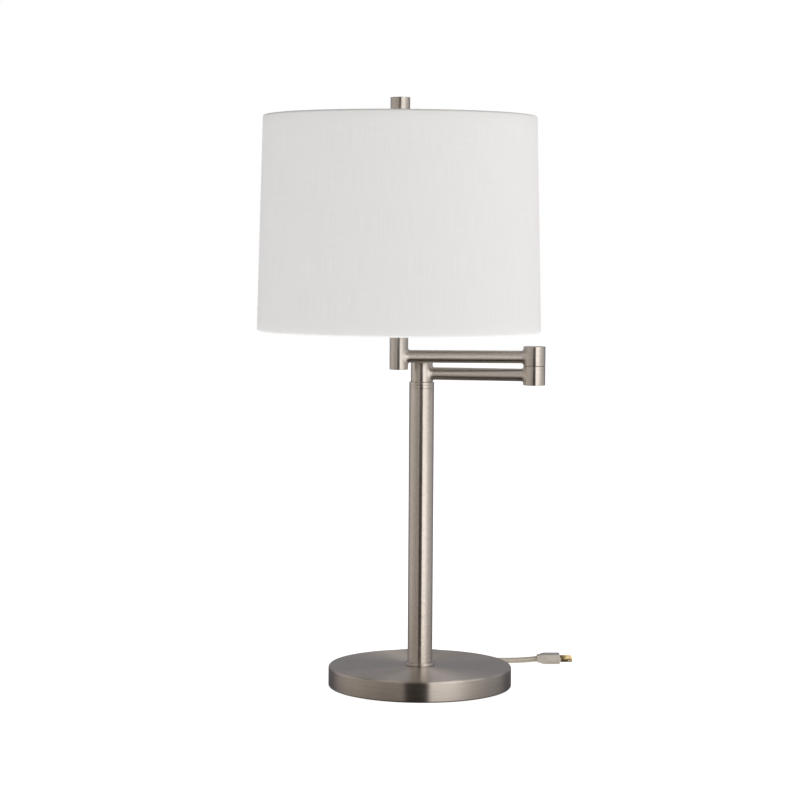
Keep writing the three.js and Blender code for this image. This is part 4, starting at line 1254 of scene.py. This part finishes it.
def make_holder():
    radius = 18.5 * MM
    bottom, cap_top = low("socket_cap").z, high("socket_cap").z
    on_stem("holder_cap", eased([
        (ROD_HOLE, bottom), (9 * MM, bottom, 0.6 * MM), (radius - 3 * MM, bottom + 6.6 * MM, 3 * MM),
        (radius, cap_top - 2.4 * MM, 1 * MM),
        (radius, cap_top, 0.3 * MM), (radius - 0.9 * MM, cap_top, 0.3 * MM),
        (radius - 0.9 * MM, cap_top - 2.2 * MM, 0.6 * MM),
        (radius - 3.8 * MM, bottom + 7.6 * MM, 2 * MM), (8.6 * MM, bottom + 1.1 * MM), (ROD_HOLE, bottom + 1.1 * MM),
    ], closed=True), "upper_arm", brass(), ("socket_cap",), 72)

    shell_bottom, shell_top = low("socket_shell").z, high("socket_shell").z
    beads = [
        (radius - 1.2 * MM + 0.45 * MM * math.sin(math.pi * i / 6), shell_bottom + 24 * MM + 0.5 * MM * i)
        for i in range(7)
    ]
    shell = turned("holder_shell", eased([
        (radius - 0.9 * MM, shell_bottom), (radius, shell_bottom, 0.3 * MM), (radius, shell_bottom + 16 * MM, 0.6 * MM),
        (radius - 1.2 * MM, shell_bottom + 18 * MM, 0.6 * MM), *beads,
        (radius - 1.2 * MM, shell_top - 1.6 * MM, 0.6 * MM),
        (radius - 0.3 * MM, shell_top, 0.3 * MM), (radius - 1.1 * MM, shell_top, 0.2 * MM),
        (radius - 2 * MM, shell_top - 1.6 * MM, 0.5 * MM),
        (radius - 2 * MM, shell_bottom + 18 * MM, 0.5 * MM), (radius - 0.9 * MM, shell_bottom + 16 * MM, 0.5 * MM),
    ], steps=3, closed=True), 72)
    knob = middle("switch_knob")
    deselect_all()
    bpy.ops.mesh.primitive_cylinder_add(
        vertices=24, radius=2.6 * MM, depth=10 * MM, location=(0, -radius, knob.z), rotation=(math.pi / 2, 0, 0)
    )
    cut_away(shell, bpy.context.object)
    move(shell, STEM_AXIS)
    finish_piece(shell, "upper_arm", brass(), ("socket_shell",))

    lo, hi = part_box("socket_sleeve")
    outer = half_width("socket_sleeve")
    on_stem("holder_sleeve", eased([
        (outer - 0.9 * MM, lo.z), (outer, lo.z, 0.15 * MM), (outer, hi.z, 0.15 * MM),
        (outer - 0.9 * MM, hi.z, 0.15 * MM),
    ], steps=2, closed=True), "upper_arm", insulating_paper(), ("socket_sleeve",), 64)

    lo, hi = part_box("socket_screw_shell")
    pitch = 3.6 * MM
    turns = int((hi.z - lo.z - 2 * MM) / pitch)
    wave = rolled_thread(14.15 * MM, lo.z + 1 * MM, pitch, turns * 8 + 1)
    inner = [(r - 0.45 * MM, z) for r, z in reversed(wave)]
    on_stem("holder_screw_shell", [*wave, *inner, wave[0]], "upper_arm", brass(), ("socket_screw_shell",), 64)

    lo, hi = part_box("bulb_base")
    wave = rolled_thread(12.75 * MM, lo.z + 7.5 * MM, pitch, 5 * 8 - 3)
    contact = eased([
        (0, lo.z), (4.4 * MM, lo.z, 0.8 * MM), (5 * MM, lo.z + 1.4 * MM), (8.4 * MM, lo.z + 3.2 * MM, 0.5 * MM),
        (12.4 * MM, lo.z + 6.2 * MM, 0.6 * MM), (12.8 * MM, lo.z + 7.2 * MM),
    ])
    on_stem("bulb_cap", [
        (0, lo.z), *contact[1:], *[p for p in wave if p[1] < hi.z - 1 * MM],
        (12.9 * MM, hi.z - 0.5 * MM), (12.6 * MM, hi.z), (12.0 * MM, hi.z),
        (12.0 * MM, lo.z + 8 * MM), (0, lo.z + 8 * MM),
    ], "upper_arm", plain_steel(), ("bulb_base",), 64)

    lo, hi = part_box("bulb_glass")
    widest, ball = hi.z - 30 * MM, 30 * MM
    profile = [
        (12.1 * MM, lo.z), (12.3 * MM, lo.z + 4 * MM), (14.2 * MM, lo.z + 9.5 * MM), (17.3 * MM, lo.z + 16.5 * MM),
        (20.6 * MM, lo.z + 23.5 * MM),
    ]
    outer = [Vector((r, 0, z)) for r, z in profile]
    for angle in map(math.radians, range(-38, 86, 12)):
        outer.append(Vector((ball * math.cos(angle), 0, widest + ball * math.sin(angle))))
    outer = [(p.x, p.z) for p in curve_through(outer, 2 * MM)] + [(0, hi.z)]
    inner = [(max(r - 1 * MM, 0), z - (1 * MM if z > widest else 0)) for r, z in reversed(outer)]
    inner[-1] = (11.1 * MM, lo.z)
    on_stem(
        "bulb_envelope", [*outer, *inner, outer[0]], "upper_arm", frosted_glass(), ("bulb_glass",),
        72
    )
    make_knob()


def make_knob():
    """A fluted switch knob on a shaft, turned about the axis that it is worked by."""
    lo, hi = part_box("switch_knob")
    length = hi.y - lo.y
    grip = 9 * MM
    knob = turned("switch_knob_fluted", eased([
        (0, 0), (2 * MM, 0, 0.2 * MM), (2 * MM, length - grip), (5.4 * MM, length - grip, 0.5 * MM),
        (6.35 * MM, length - grip + 1.2 * MM, 0.4 * MM),
        (6.35 * MM, length - 1.6 * MM, 0.5 * MM), (5.2 * MM, length, 0.5 * MM), (0, length),
    ], steps=3), 48)
    for vertex in knob.data.vertices:
        radius = math.hypot(vertex.co.x, vertex.co.y)
        if radius > 6.0 * MM:
            angle = math.atan2(vertex.co.y, vertex.co.x)
            scale = 1 - 0.06 * (0.5 - 0.5 * math.cos(12 * angle))
            vertex.co.x *= scale
            vertex.co.y *= scale
    move(knob, (STEM_AXIS.x, hi.y, (lo.z + hi.z) / 2), (0, -1, 0))
    finish_piece(knob, "switch_knob", black_plastic(), ("switch_knob",))


# ---------------------------------------------------------------- harp


def make_harp():
    lo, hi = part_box("harp")
    wire, foot = 2 * MM, 31 * MM
    stud_height = 19 * MM
    top = hi.z - stud_height
    half = half_width("harp") - wire
    half_route = [
        (foot, lo.z), (foot, lo.z + 11 * MM), (foot, lo.z + 22 * MM), (37 * MM, lo.z + 40 * MM),
        (47 * MM, lo.z + 64 * MM),
        (half - 1 * MM, lo.z + 94 * MM), (half, lo.z + 119 * MM), (50 * MM, top - 42 * MM), (39 * MM, top - 20 * MM),
        (24 * MM, top - 6 * MM), (11 * MM, top - 1 * MM),
    ]
    route = [(-x, 0, z) for x, z in half_route] + [(0, 0, top)] + [(x, 0, z) for x, z in reversed(half_route)]
    path = [p + STEM_AXIS for p in curve_through(route, 3 * MM)]
    bow = swept("harp_wire_part", path, round_section(wire, 16), sideways=(0, 1, 0))
    mark_turning(bow, STEM_AXIS)
    stud = turned("harp_stud_part", [
        (0, top - 3.2 * MM), (6.2 * MM, top - 3.2 * MM), (6.5 * MM, top - 2.9 * MM), (6.5 * MM, top + 2.3 * MM),
        (6.2 * MM, top + 2.6 * MM),
        (3.2 * MM, top + 3.2 * MM), *threaded(3 * MM, top + 4 * MM, top + 18.2 * MM, sizes().thread_pitch, 0.3 * MM),
        (2 * MM, hi.z), (0, hi.z),
    ], 40)
    move(stud, STEM_AXIS)
    mark_turning(stud, STEM_AXIS)
    harp = join("harp_bow", bow, stud)
    finish_piece(harp, "upper_arm", brushed_nickel(), ("harp",))
    make_saddle()
    for side in ("left", "right"):
        node = f"harp_ferrule_{side}"
        lo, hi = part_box(node)
        ferrule = turned(f"{node}_turned", eased([
            (3.7 * MM, lo.z), (5.1 * MM, lo.z, 0.4 * MM), (5.1 * MM, lo.z + 1.6 * MM, 0.4 * MM),
            (4.7 * MM, lo.z + 2.4 * MM, 0.4 * MM),
            (4.9 * MM, hi.z - 2.6 * MM, 0.5 * MM), (4.3 * MM, hi.z, 0.4 * MM), (3.7 * MM, hi.z),
        ], steps=3, closed=True), 48)
        axis = Vector((middle(node).x, middle(node).y, 0))
        move(ferrule, axis)
        mark_turning(ferrule, axis)
        finish_piece(ferrule, node, brushed_nickel(), (node,))


def make_saddle():
    """The strip that holds the harp: a plate drawn out to both sides, bent up into two prongs."""
    lo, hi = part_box("harp_saddle")
    thick, prong, bend = 1.5 * MM, hi.z - 13 * MM, 16 * MM
    reach = half_width("harp_saddle") - 0.6 * MM
    plate = turned("saddle_plate_part", eased([
        (ROD_HOLE, lo.z), (11 * MM, lo.z, 0.3 * MM), (11 * MM, lo.z + thick, 0.3 * MM), (ROD_HOLE, lo.z + thick),
    ], closed=True), 48)
    move(plate, STEM_AXIS)
    strips = []
    for sign in (-1, 1):
        route = curve_through([
            (sign * 7 * MM, 0, lo.z + thick / 2), (sign * bend, 0, lo.z + thick / 2),
            (sign * (bend + 4 * MM), 0, lo.z + 2.4 * MM),
            (sign * (reach - 1.6 * MM), 0, prong - 1.6 * MM), (sign * reach, 0, prong + 2.2 * MM),
            (sign * reach, 0, hi.z),
        ], 1.2 * MM)
        section = eased(
            [(-2 * MM, -0.6 * MM, 0.25 * MM), (2 * MM, -0.6 * MM, 0.25 * MM), (2 * MM, 0.6 * MM, 0.25 * MM),
            (-2 * MM, 0.6 * MM, 0.25 * MM)], steps=2
        )
        strips.append(swept("saddle_strip_part", [p + STEM_AXIS for p in route], section, sideways=(0, 1, 0)))
    saddle = join("harp_saddle_bent", plate, *strips)
    finish_piece(saddle, "upper_arm", plain_steel(), ("harp_saddle",))


# ---------------------------------------------------------------- shade


def cloth_outline():
    """Half a section of the shade: cloth on a stiff liner, turned in over both ring wires."""
    lo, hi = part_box("shade_cloth")
    bottom_radius = half_width("shade_cloth")
    top_radius = bottom_radius - sizes().shade_taper
    hem = sizes().hem

    def wall(height):
        return bottom_radius + (top_radius - bottom_radius) * (height - lo.z) / (hi.z - lo.z)

    def roll(height, sign, out, inn, rise, steps=8):
        centre = wall(height) - 3.1 * MM
        points = []
        for i in range(steps + 1):
            angle = math.pi * i / steps
            reach = out if angle <= math.pi / 2 else inn
            points.append((centre + reach * math.cos(angle), height + sign * rise * math.sin(angle)))
        return points

    top, bottom = hi.z - 2.6 * MM, lo.z + 2.6 * MM
    outer = [(wall(bottom + (top - bottom) * i / 24), bottom + (top - bottom) * i / 24) for i in range(1, 24)]
    inner = [(r - 0.95 * MM, z) for r, z in reversed(outer)]
    over_top = roll(top, 1, 3.1 * MM, 2.7 * MM, 2.6 * MM)
    under_top = list(reversed(roll(top, 1, 2.15 * MM, 1.95 * MM, 1.95 * MM)))
    over_bottom = list(reversed(roll(bottom, -1, 3.1 * MM, 2.7 * MM, 2.6 * MM)))
    under_bottom = roll(bottom, -1, 2.15 * MM, 1.95 * MM, 1.95 * MM)
    top_edge = [(wall(top) - 5.3 * MM, top - hem), (wall(top) - 4.6 * MM, top - hem)]
    bottom_edge = [(wall(bottom) - 4.6 * MM, bottom + hem), (wall(bottom) - 5.3 * MM, bottom + hem)]
    return [*outer, *over_top, *top_edge, *under_top, *inner, *under_bottom, *bottom_edge, *over_bottom]


def unroll_cloth(piece, outline):
    """Gives the cloth a flat map in metres: round the shade, and along its outline. The join is at the back."""
    run = [0.0]
    for a, b in zip(outline, outline[1:]):
        run.append(run[-1] + math.dist(a, b))
    mean = sum(r for r, _ in outline) / len(outline)
    place = {}
    for vertex in piece.data.vertices:
        x, y, z = vertex.co - STEM_AXIS
        radius = math.hypot(x, y)
        nearest = min(range(len(outline)), key=lambda i: (outline[i][0] - radius) ** 2 + (outline[i][1] - z) ** 2)
        place[vertex.index] = (math.atan2(x, -y), run[nearest])
    layer = piece.data.uv_layers.new(name="cloth")
    for face in piece.data.polygons:
        x, y, _ = face.center - STEM_AXIS
        middle_angle = math.atan2(x, -y)
        for loop in face.loop_indices:
            angle, along = place[piece.data.loops[loop].vertex_index]
            if angle - middle_angle > math.pi:
                angle -= 2 * math.pi
            elif middle_angle - angle > math.pi:
                angle += 2 * math.pi
            layer.data[loop].uv = (angle * mean, along)


def make_shade():
    outline = cloth_outline()
    cloth = turned("shade_cloth_rolled", [*outline, outline[0]], 160)
    move(cloth, STEM_AXIS)
    unroll_cloth(cloth, outline)
    finish_piece(cloth, "shade", shade_cloth(), ("shade_cloth",), smooth=50)

    lo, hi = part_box("shade_cloth")
    slant = (half_width("shade_cloth"), half_width("shade_cloth") - 6.4 * MM)
    back = [
        STEM_AXIS + Vector((0, slant[0] + (slant[1] - slant[0]) * t - 0.15 * MM, lo.z + (hi.z - lo.z) * t))
        for t in [0.014 + 0.972 * i / 30 for i in range(31)]
    ]
    lap = [(4.6 * MM * math.cos(a), 0.42 * MM * math.sin(a)) for a in (2 * math.pi * i / 16 for i in range(16))]
    seam = swept("shade_lap_seam", back, lap, sideways=(1, 0, 0))
    layer = seam.data.uv_layers.new(name="cloth")
    for loop in seam.data.loops:
        at = seam.data.vertices[loop.vertex_index].co
        layer.data[loop.index].uv = (at.x, at.z)
    finish_piece(seam, "shade", shade_cloth(), smooth=50)

    for which, node in (("top", "shade_top_ring"), ("bottom", "shade_bottom_ring")):
        wire = (high(node).z - low(node).z) / 2
        centre = (half_width(node) - wire, middle(node).z)
        circle = [(centre[0] + x, centre[1] + y) for x, y in round_section(wire, 12)]
        ring = turned(f"shade_{which}_wire", [*circle, circle[0]], 128)
        move(ring, STEM_AXIS)
        finish_piece(ring, "shade", white_paint(), (node,), smooth=60)
    make_spider()


def make_spider():
    """A washer on the harp's stud, with three rods out to the top ring."""
    hub_thickness = 2 * MM
    hub_low = low("finial").z - CLEARANCE - hub_thickness
    washer = turned("spider_washer_part", eased([
        (3.4 * MM, hub_low), (14 * MM, hub_low, 0.4 * MM), (14 * MM, hub_low + hub_thickness, 0.4 * MM),
        (3.4 * MM, hub_low + hub_thickness, 0.2 * MM),
    ], closed=True), 64)
    move(washer, STEM_AXIS)
    ring = half_width("shade_top_ring") - 3.1 * MM
    ring_height = middle("shade_top_ring").z
    parts = []
    for i in range(3):
        angle = math.radians(30 + 120 * i)
        out = Vector((math.cos(angle), math.sin(angle), 0))
        route = [
            STEM_AXIS + out * reach + UP * height
            for reach, height in (
                (12 * MM, hub_low + 1 * MM), (28 * MM, hub_low + 1 * MM), (60 * MM, hub_low + 1.4 * MM),
                (ring - 30 * MM, ring_height - 0.6 * MM), (ring, ring_height),
            )
        ]
        parts.append(swept("spider_rod_part", curve_through(route, 4 * MM), round_section(1.8 * MM, 12)))
    spider = join("shade_spider_brazed", washer, *parts)
    finish_piece(spider, "shade", white_paint(), ("shade_spider",), smooth=50)


def make_finial():
    lo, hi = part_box("finial")
    radius = half_width("finial")
    bore = 3.3 * MM
    bore_top = hi.z - 11 * MM
    outside = eased([(bore, lo.z), (radius, lo.z, 0.5 * MM), (radius, hi.z, 0.8 * MM), (0, hi.z)], steps=5)
    inside = [(0, bore_top), (bore, bore_top), (bore, lo.z)]
    on_stem("finial_turned", outside + inside, "finial", brushed_nickel(), ("finial",), lines=True)


# ---------------------------------------------------------------- parts inside


def make_inner_parts():
    """Gives their finishes to the CAD parts that stay: weight, rods, nuts, washers and wires."""
    inside = {
        "base_weight": cast_iron, "base_washer": plain_steel, "base_nut": plain_steel, "tie_rod": plain_steel,
        "pole_nut": plain_steel, "elbow_pin": plain_steel, "elbow_nut_lower": plain_steel,
        "elbow_nut_upper": plain_steel,
        "socket_nipple": plain_steel, "pole_washer": nylon, "elbow_washer": nylon, "socket_body": black_plastic,
        "wire_base_to_pole": clear_cord, "wire_lower_arm": clear_cord, "wire_upper_arm": clear_cord,
    }
    for name, material in inside.items():
        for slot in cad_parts[name].material_slots:
            slot.material = material()


# ---------------------------------------------------------------- stage

# The two large softboxes, round the horizon: azimuth in degrees, where 0 is the camera's side and positive is to its
# right, and the share of the box's brightness there.
LEFT_BOX = (
    (-140, 0.0), (-122, 0.5), (-108, 0.8), (-84, 1.0), (-60, 0.85), (-47, 0.7), (-27, 0.72), (-21, 0.75), (-18, 0.0)
)
RIGHT_BOX = ((10, 0.0), (12.5, 1.0), (30, 1.0), (43, 0.85), (56, 0.65), (69, 0.45), (90, 0.3), (115, 0.17), (136, 0.0))
# Elevation in degrees, and how bright both boxes are at that height.
BOX_HEIGHTS = ((-66, 0.0), (-46, 0.2), (-30, 0.55), (-12, 1.0), (16, 1.0), (22, 0.0))
BRIGHTEST = 2.5  # a ramp holds colours up to 1, so the boxes are stored as shares of this

def softbox(name, azimuth, elevation, distance, width, height, radiance, colour=WARM_WHITE, glossy=True, diffuse=True):
    """A rectangular lamp that faces the lamp's middle. Azimuth 0 is the camera's side, and positive is to its right."""
    aim = Vector((0, 0, 0.36))
    a, e = math.radians(azimuth), math.radians(elevation)
    away = Vector((math.sin(a) * math.cos(e), -math.cos(a) * math.cos(e), math.sin(e)))
    light = bpy.data.lights.new(name, "AREA")
    light.shape = "RECTANGLE"
    light.size, light.size_y = width, height
    light.energy = radiance * math.pi * width * height
    light.color = colour
    thing = bpy.data.objects.new(name, light)
    bpy.context.collection.objects.link(thing)
    thing.location = aim + away * distance
    thing.rotation_euler = (-away).to_track_quat("-Z", "Y").to_euler()
    thing.visible_camera = False
    thing.visible_glossy = glossy
    thing.visible_diffuse = diffuse


def ramp(tree, value, stops):
    """A colour ramp over a value. The stops, each a position and a colour, are in rising order."""
    made = new_node(tree, "ShaderNodeValToRGB")
    elements = made.color_ramp.elements
    while len(elements) < len(stops):
        elements.new(1.0)
    for element, (position, colour) in zip(elements, stops):
        element.position = position
        element.color = (*colour, 1)
    tree.links.new(value, made.inputs[0])
    return made.outputs["Color"]


def studio_boxes(tree, split, stage):
    """Both large softboxes as a soft pattern on the world, which every surface mirrors without a seam."""
    turn = math_node(tree, "ARCTAN2", split.outputs["X"], math_node(tree, "MULTIPLY", split.outputs["Y"], -1.0))
    round_horizon = [
        ((azimuth + 180) / 360, [share * box * tint / BRIGHTEST for tint in colour])
        for panel, box, colour in (
            (LEFT_BOX, stage.left_box, (1.0, 0.92, 0.84)), (RIGHT_BOX, stage.right_box, WARM_WHITE),
        )
        for azimuth, share in panel
    ]
    colour = ramp(tree, remap(tree, turn, -math.pi, math.pi, 0.0, 1.0), round_horizon)
    rise = math_node(tree, "ARCSINE", split.outputs["Z"])
    heights = [((elevation + 90) / 180, [share] * 3) for elevation, share in BOX_HEIGHTS]
    height = ramp(tree, remap(tree, rise, -math.pi / 2, math.pi / 2, 0.0, 1.0), heights)
    boxes = tree.nodes.new("ShaderNodeBackground")
    tree.links.new(colour, boxes.inputs["Color"])
    tree.links.new(math_node(tree, "MULTIPLY", height, BRIGHTEST), boxes.inputs["Strength"])
    return boxes.outputs[0]


def make_world(stage):
    world = bpy.data.worlds.new("Studio")
    bpy.context.scene.world = world
    world.use_nodes = True
    tree = world.node_tree
    tree.nodes.clear()
    split = tree.nodes.new("ShaderNodeSeparateXYZ")
    tree.links.new(tree.nodes.new("ShaderNodeTexCoord").outputs["Generated"], split.inputs[0])
    behind = remap(tree, split.outputs["Y"], -0.15, 0.6, 0.0, 0.2)
    cooler = new_node(tree, "ShaderNodeMix", {"data_type": "RGBA"})
    tree.links.new(remap(tree, split.outputs["Y"], -0.15, 0.3, 0.0, 1.0), cooler.inputs[0])
    cooler.inputs[6].default_value = (1.0, 0.9, 0.8, 1)
    cooler.inputs[7].default_value = (0.97, 0.95, 1.0, 1)
    above = remap(tree, split.outputs["Z"], 0.12, 0.55, 0.0, 0.12)
    level = math_node(tree, "ADD", math_node(tree, "ADD", behind, above), 0.04)
    studio = tree.nodes.new("ShaderNodeBackground")
    tree.links.new(cooler.outputs[2], studio.inputs["Color"])
    tree.links.new(level, studio.inputs["Strength"])
    seen = new_node(tree, "ShaderNodeBackground", Strength=1.0)
    seen.inputs["Color"].default_value = (1, 1, 1, 1)
    mixed = tree.nodes.new("ShaderNodeMixShader")
    tree.links.new(tree.nodes.new("ShaderNodeLightPath").outputs["Is Camera Ray"], mixed.inputs[0])
    lit = tree.nodes.new("ShaderNodeAddShader")
    tree.links.new(studio.outputs[0], lit.inputs[0])
    tree.links.new(studio_boxes(tree, split, stage), lit.inputs[1])
    tree.links.new(lit.outputs[0], mixed.inputs[1])
    tree.links.new(seen.outputs[0], mixed.inputs[2])
    tree.links.new(mixed.outputs[0], tree.nodes.new("ShaderNodeOutputWorld").inputs[0])


def make_floor(stage):
    deselect_all()
    bpy.ops.mesh.primitive_circle_add(vertices=96, radius=0.6, fill_type="NGON", location=(0, 0, -0.05 * MM))
    floor = bpy.context.object
    floor.name = "studio_floor"
    bpy.ops.object.mode_set(mode="EDIT")
    bpy.ops.mesh.inset(thickness=0.2)
    bpy.ops.mesh.select_all(action="SELECT")
    bpy.ops.transform.resize(value=(12, 12, 1))
    bpy.ops.object.mode_set(mode="OBJECT")
    settle(floor)
    paint = bpy.data.materials.new("Studio Floor")
    paint.use_nodes = True
    shader = paint.node_tree.nodes["Principled BSDF"]
    shader.inputs["Base Color"].default_value = (*stage.floor, 1)
    shader.inputs["Roughness"].default_value = 0.9
    shader.inputs["Specular IOR Level"].default_value = 0.0
    shader.inputs["Emission Color"].default_value = (1, 1, 1, 1)
    shader.inputs["Emission Strength"].default_value = 0.85
    floor.data.materials.append(paint)
    floor.visible_glossy = False
    make_table()


def make_table():
    """A smoky disc that only reflections see: it dims what the base's polished wall mirrors of the table."""
    deselect_all()
    bpy.ops.mesh.primitive_circle_add(vertices=64, radius=0.42, fill_type="NGON", location=(0, 0, -0.4 * MM))
    table = bpy.context.object
    table.name = "studio_table"
    settle(table)
    paint = bpy.data.materials.new("Studio Table")
    paint.use_nodes = True
    tree = paint.node_tree
    tree.nodes.clear()
    smoke = new_node(tree, "ShaderNodeBsdfTransparent", Color=(0.36, 0.35, 0.34, 1))
    tree.links.new(smoke.outputs[0], tree.nodes.new("ShaderNodeOutputMaterial").inputs[0])
    table.data.materials.append(paint)
    table.visible_camera = table.visible_diffuse = table.visible_shadow = table.visible_transmission = False


def make_camera(stage):
    data = bpy.data.cameras.new("Camera")
    data.lens = stage.lens
    data.sensor_width = 36
    data.clip_start, data.clip_end = 0.05, 60
    camera = bpy.data.objects.new("Camera", data)
    bpy.context.collection.objects.link(camera)
    ahead = Vector((0, math.cos(stage.camera_pitch), -math.sin(stage.camera_pitch)))
    right = Vector((1, 0, 0))
    rise = right.cross(ahead)
    c, s = math.cos(stage.camera_roll), math.sin(stage.camera_roll)
    x, y = right * c + rise * s, rise * c - right * s
    camera.matrix_world = Matrix((
        (x.x, y.x, -ahead.x, stage.camera_at[0]), (x.y, y.y, -ahead.y, stage.camera_at[1]),
        (x.z, y.z, -ahead.z, stage.camera_at[2]), (0, 0, 0, 1),
    ))
    bpy.context.scene.camera = camera


def make_stage():
    stage = bpy.context.scene.lamp_stage
    bpy.context.scene.view_settings.view_transform = "Standard"
    make_camera(stage)
    make_floor(stage)
    make_world(stage)
    softbox("upper_softbox", 70, 42, 2.2, 2.2, 1.3, stage.upper_box)
    softbox("rim_right", 42, 50, 2.2, 1.6, 0.9, stage.rim_box, diffuse=False)
    softbox("rim_left", -52, 50, 2.2, 1.6, 0.9, LEFT_RIM_SHARE * stage.rim_box, (1.0, 0.95, 0.9), diffuse=False)
    softbox("fill_right", 62, 10, 2.6, 1.6, 1.6, 0.35 * stage.fill, (0.85, 0.93, 1.0), glossy=False)
    softbox("fill_left", -58, 10, 2.6, 1.6, 1.6, 1.05 * stage.fill, (0.9, 0.95, 1.0), glossy=False)
    softbox("fill_back", 180, 35, 2.6, 2.0, 1.6, 0.8 * stage.fill, (0.96, 0.98, 1.0), glossy=False)


# ---------------------------------------------------------------- operators


class LAMP_OT_cord(bpy.types.Operator):
    """Adds the supply cord with its relief, tie and plug"""

    bl_idname = "lamp.cord"
    bl_label = "Cord and Plug"

    def execute(self, context):
        make_cord()
        return {"FINISHED"}


class LAMP_OT_base(bpy.types.Operator):
    """Adds the base's cover and its felt"""

    bl_idname = "lamp.base"
    bl_label = "Base"

    def execute(self, context):
        make_base()
        return {"FINISHED"}


class LAMP_OT_pole(bpy.types.Operator):
    """Adds the pole, its foot ring and its cap"""

    bl_idname = "lamp.pole"
    bl_label = "Pole"

    def execute(self, context):
        make_pole()
        return {"FINISHED"}


class LAMP_OT_arms(bpy.types.Operator):
    """Adds both arms with their hubs, the stem and their discs"""

    bl_idname = "lamp.arms"
    bl_label = "Arms and Stem"

    def execute(self, context):
        make_arms()
        return {"FINISHED"}


class LAMP_OT_holder(bpy.types.Operator):
    """Adds the lamp holder, the bulb and the switch"""

    bl_idname = "lamp.holder"
    bl_label = "Holder and Bulb"

    def execute(self, context):
        make_holder()
        return {"FINISHED"}


class LAMP_OT_harp(bpy.types.Operator):
    """Adds the harp, its saddle and its ferrules"""

    bl_idname = "lamp.harp"
    bl_label = "Harp"

    def execute(self, context):
        make_harp()
        return {"FINISHED"}


class LAMP_OT_shade(bpy.types.Operator):
    """Adds the shade's cloth, its ring wires and its spider"""

    bl_idname = "lamp.shade"
    bl_label = "Shade"

    def execute(self, context):
        make_shade()
        return {"FINISHED"}


class LAMP_OT_finial(bpy.types.Operator):
    """Adds the finial that holds the shade down"""

    bl_idname = "lamp.finial"
    bl_label = "Finial"

    def execute(self, context):
        make_finial()
        return {"FINISHED"}


class LAMP_OT_inner_parts(bpy.types.Operator):
    """Gives the parts inside the lamp their finishes"""

    bl_idname = "lamp.inner_parts"
    bl_label = "Inner Parts"

    def execute(self, context):
        make_inner_parts()
        return {"FINISHED"}


class LAMP_OT_stage(bpy.types.Operator):
    """Adds the floor, the studio light and the camera"""

    bl_idname = "lamp.stage"
    bl_label = "Stage"

    def execute(self, context):
        make_stage()
        return {"FINISHED"}


OPERATORS = (
    LAMP_OT_stage, LAMP_OT_cord, LAMP_OT_base, LAMP_OT_pole, LAMP_OT_arms, LAMP_OT_holder, LAMP_OT_harp, LAMP_OT_shade,
    LAMP_OT_finial, LAMP_OT_inner_parts,
)


class LAMP_PT_build(bpy.types.Panel):
    """Lists the lamp's pieces and its settings"""

    bl_idname = "LAMP_PT_build"
    bl_label = "Swing-Arm Table Lamp"
    bl_space_type = "VIEW_3D"
    bl_region_type = "UI"
    bl_category = "Lamp"

    def draw(self, context):
        layout = self.layout
        for operator in OPERATORS:
            layout.operator(operator.bl_idname)
        for title, group in (
            ("Sizes", context.scene.lamp_sizes), ("Finishes", context.scene.lamp_finishes),
            ("Cord", context.scene.lamp_cord), ("Stage", context.scene.lamp_stage),
        ):
            box = layout.box()
            box.label(text=title)
            for name in type(group).__annotations__:
                box.prop(group, name)


GROUPS = {"lamp_sizes": LampSizes, "lamp_finishes": LampFinishes, "lamp_cord": LampCord, "lamp_stage": LampStage}


def register():
    for group in GROUPS.values():
        bpy.utils.register_class(group)
    for name, group in GROUPS.items():
        setattr(bpy.types.Scene, name, bpy.props.PointerProperty(type=group))
    for operator in OPERATORS:
        bpy.utils.register_class(operator)
    bpy.utils.register_class(LAMP_PT_build)


def unregister():
    bpy.utils.unregister_class(LAMP_PT_build)
    for operator in reversed(OPERATORS):
        bpy.utils.unregister_class(operator)
    for name in GROUPS:
        delattr(bpy.types.Scene, name)
    for group in GROUPS.values():
        bpy.utils.unregister_class(group)


def main():
    register()
    for operator in OPERATORS:
        area, action = operator.bl_idname.split(".")
        getattr(getattr(bpy.ops, area), action)()


if __name__ == "__main__":
    main()
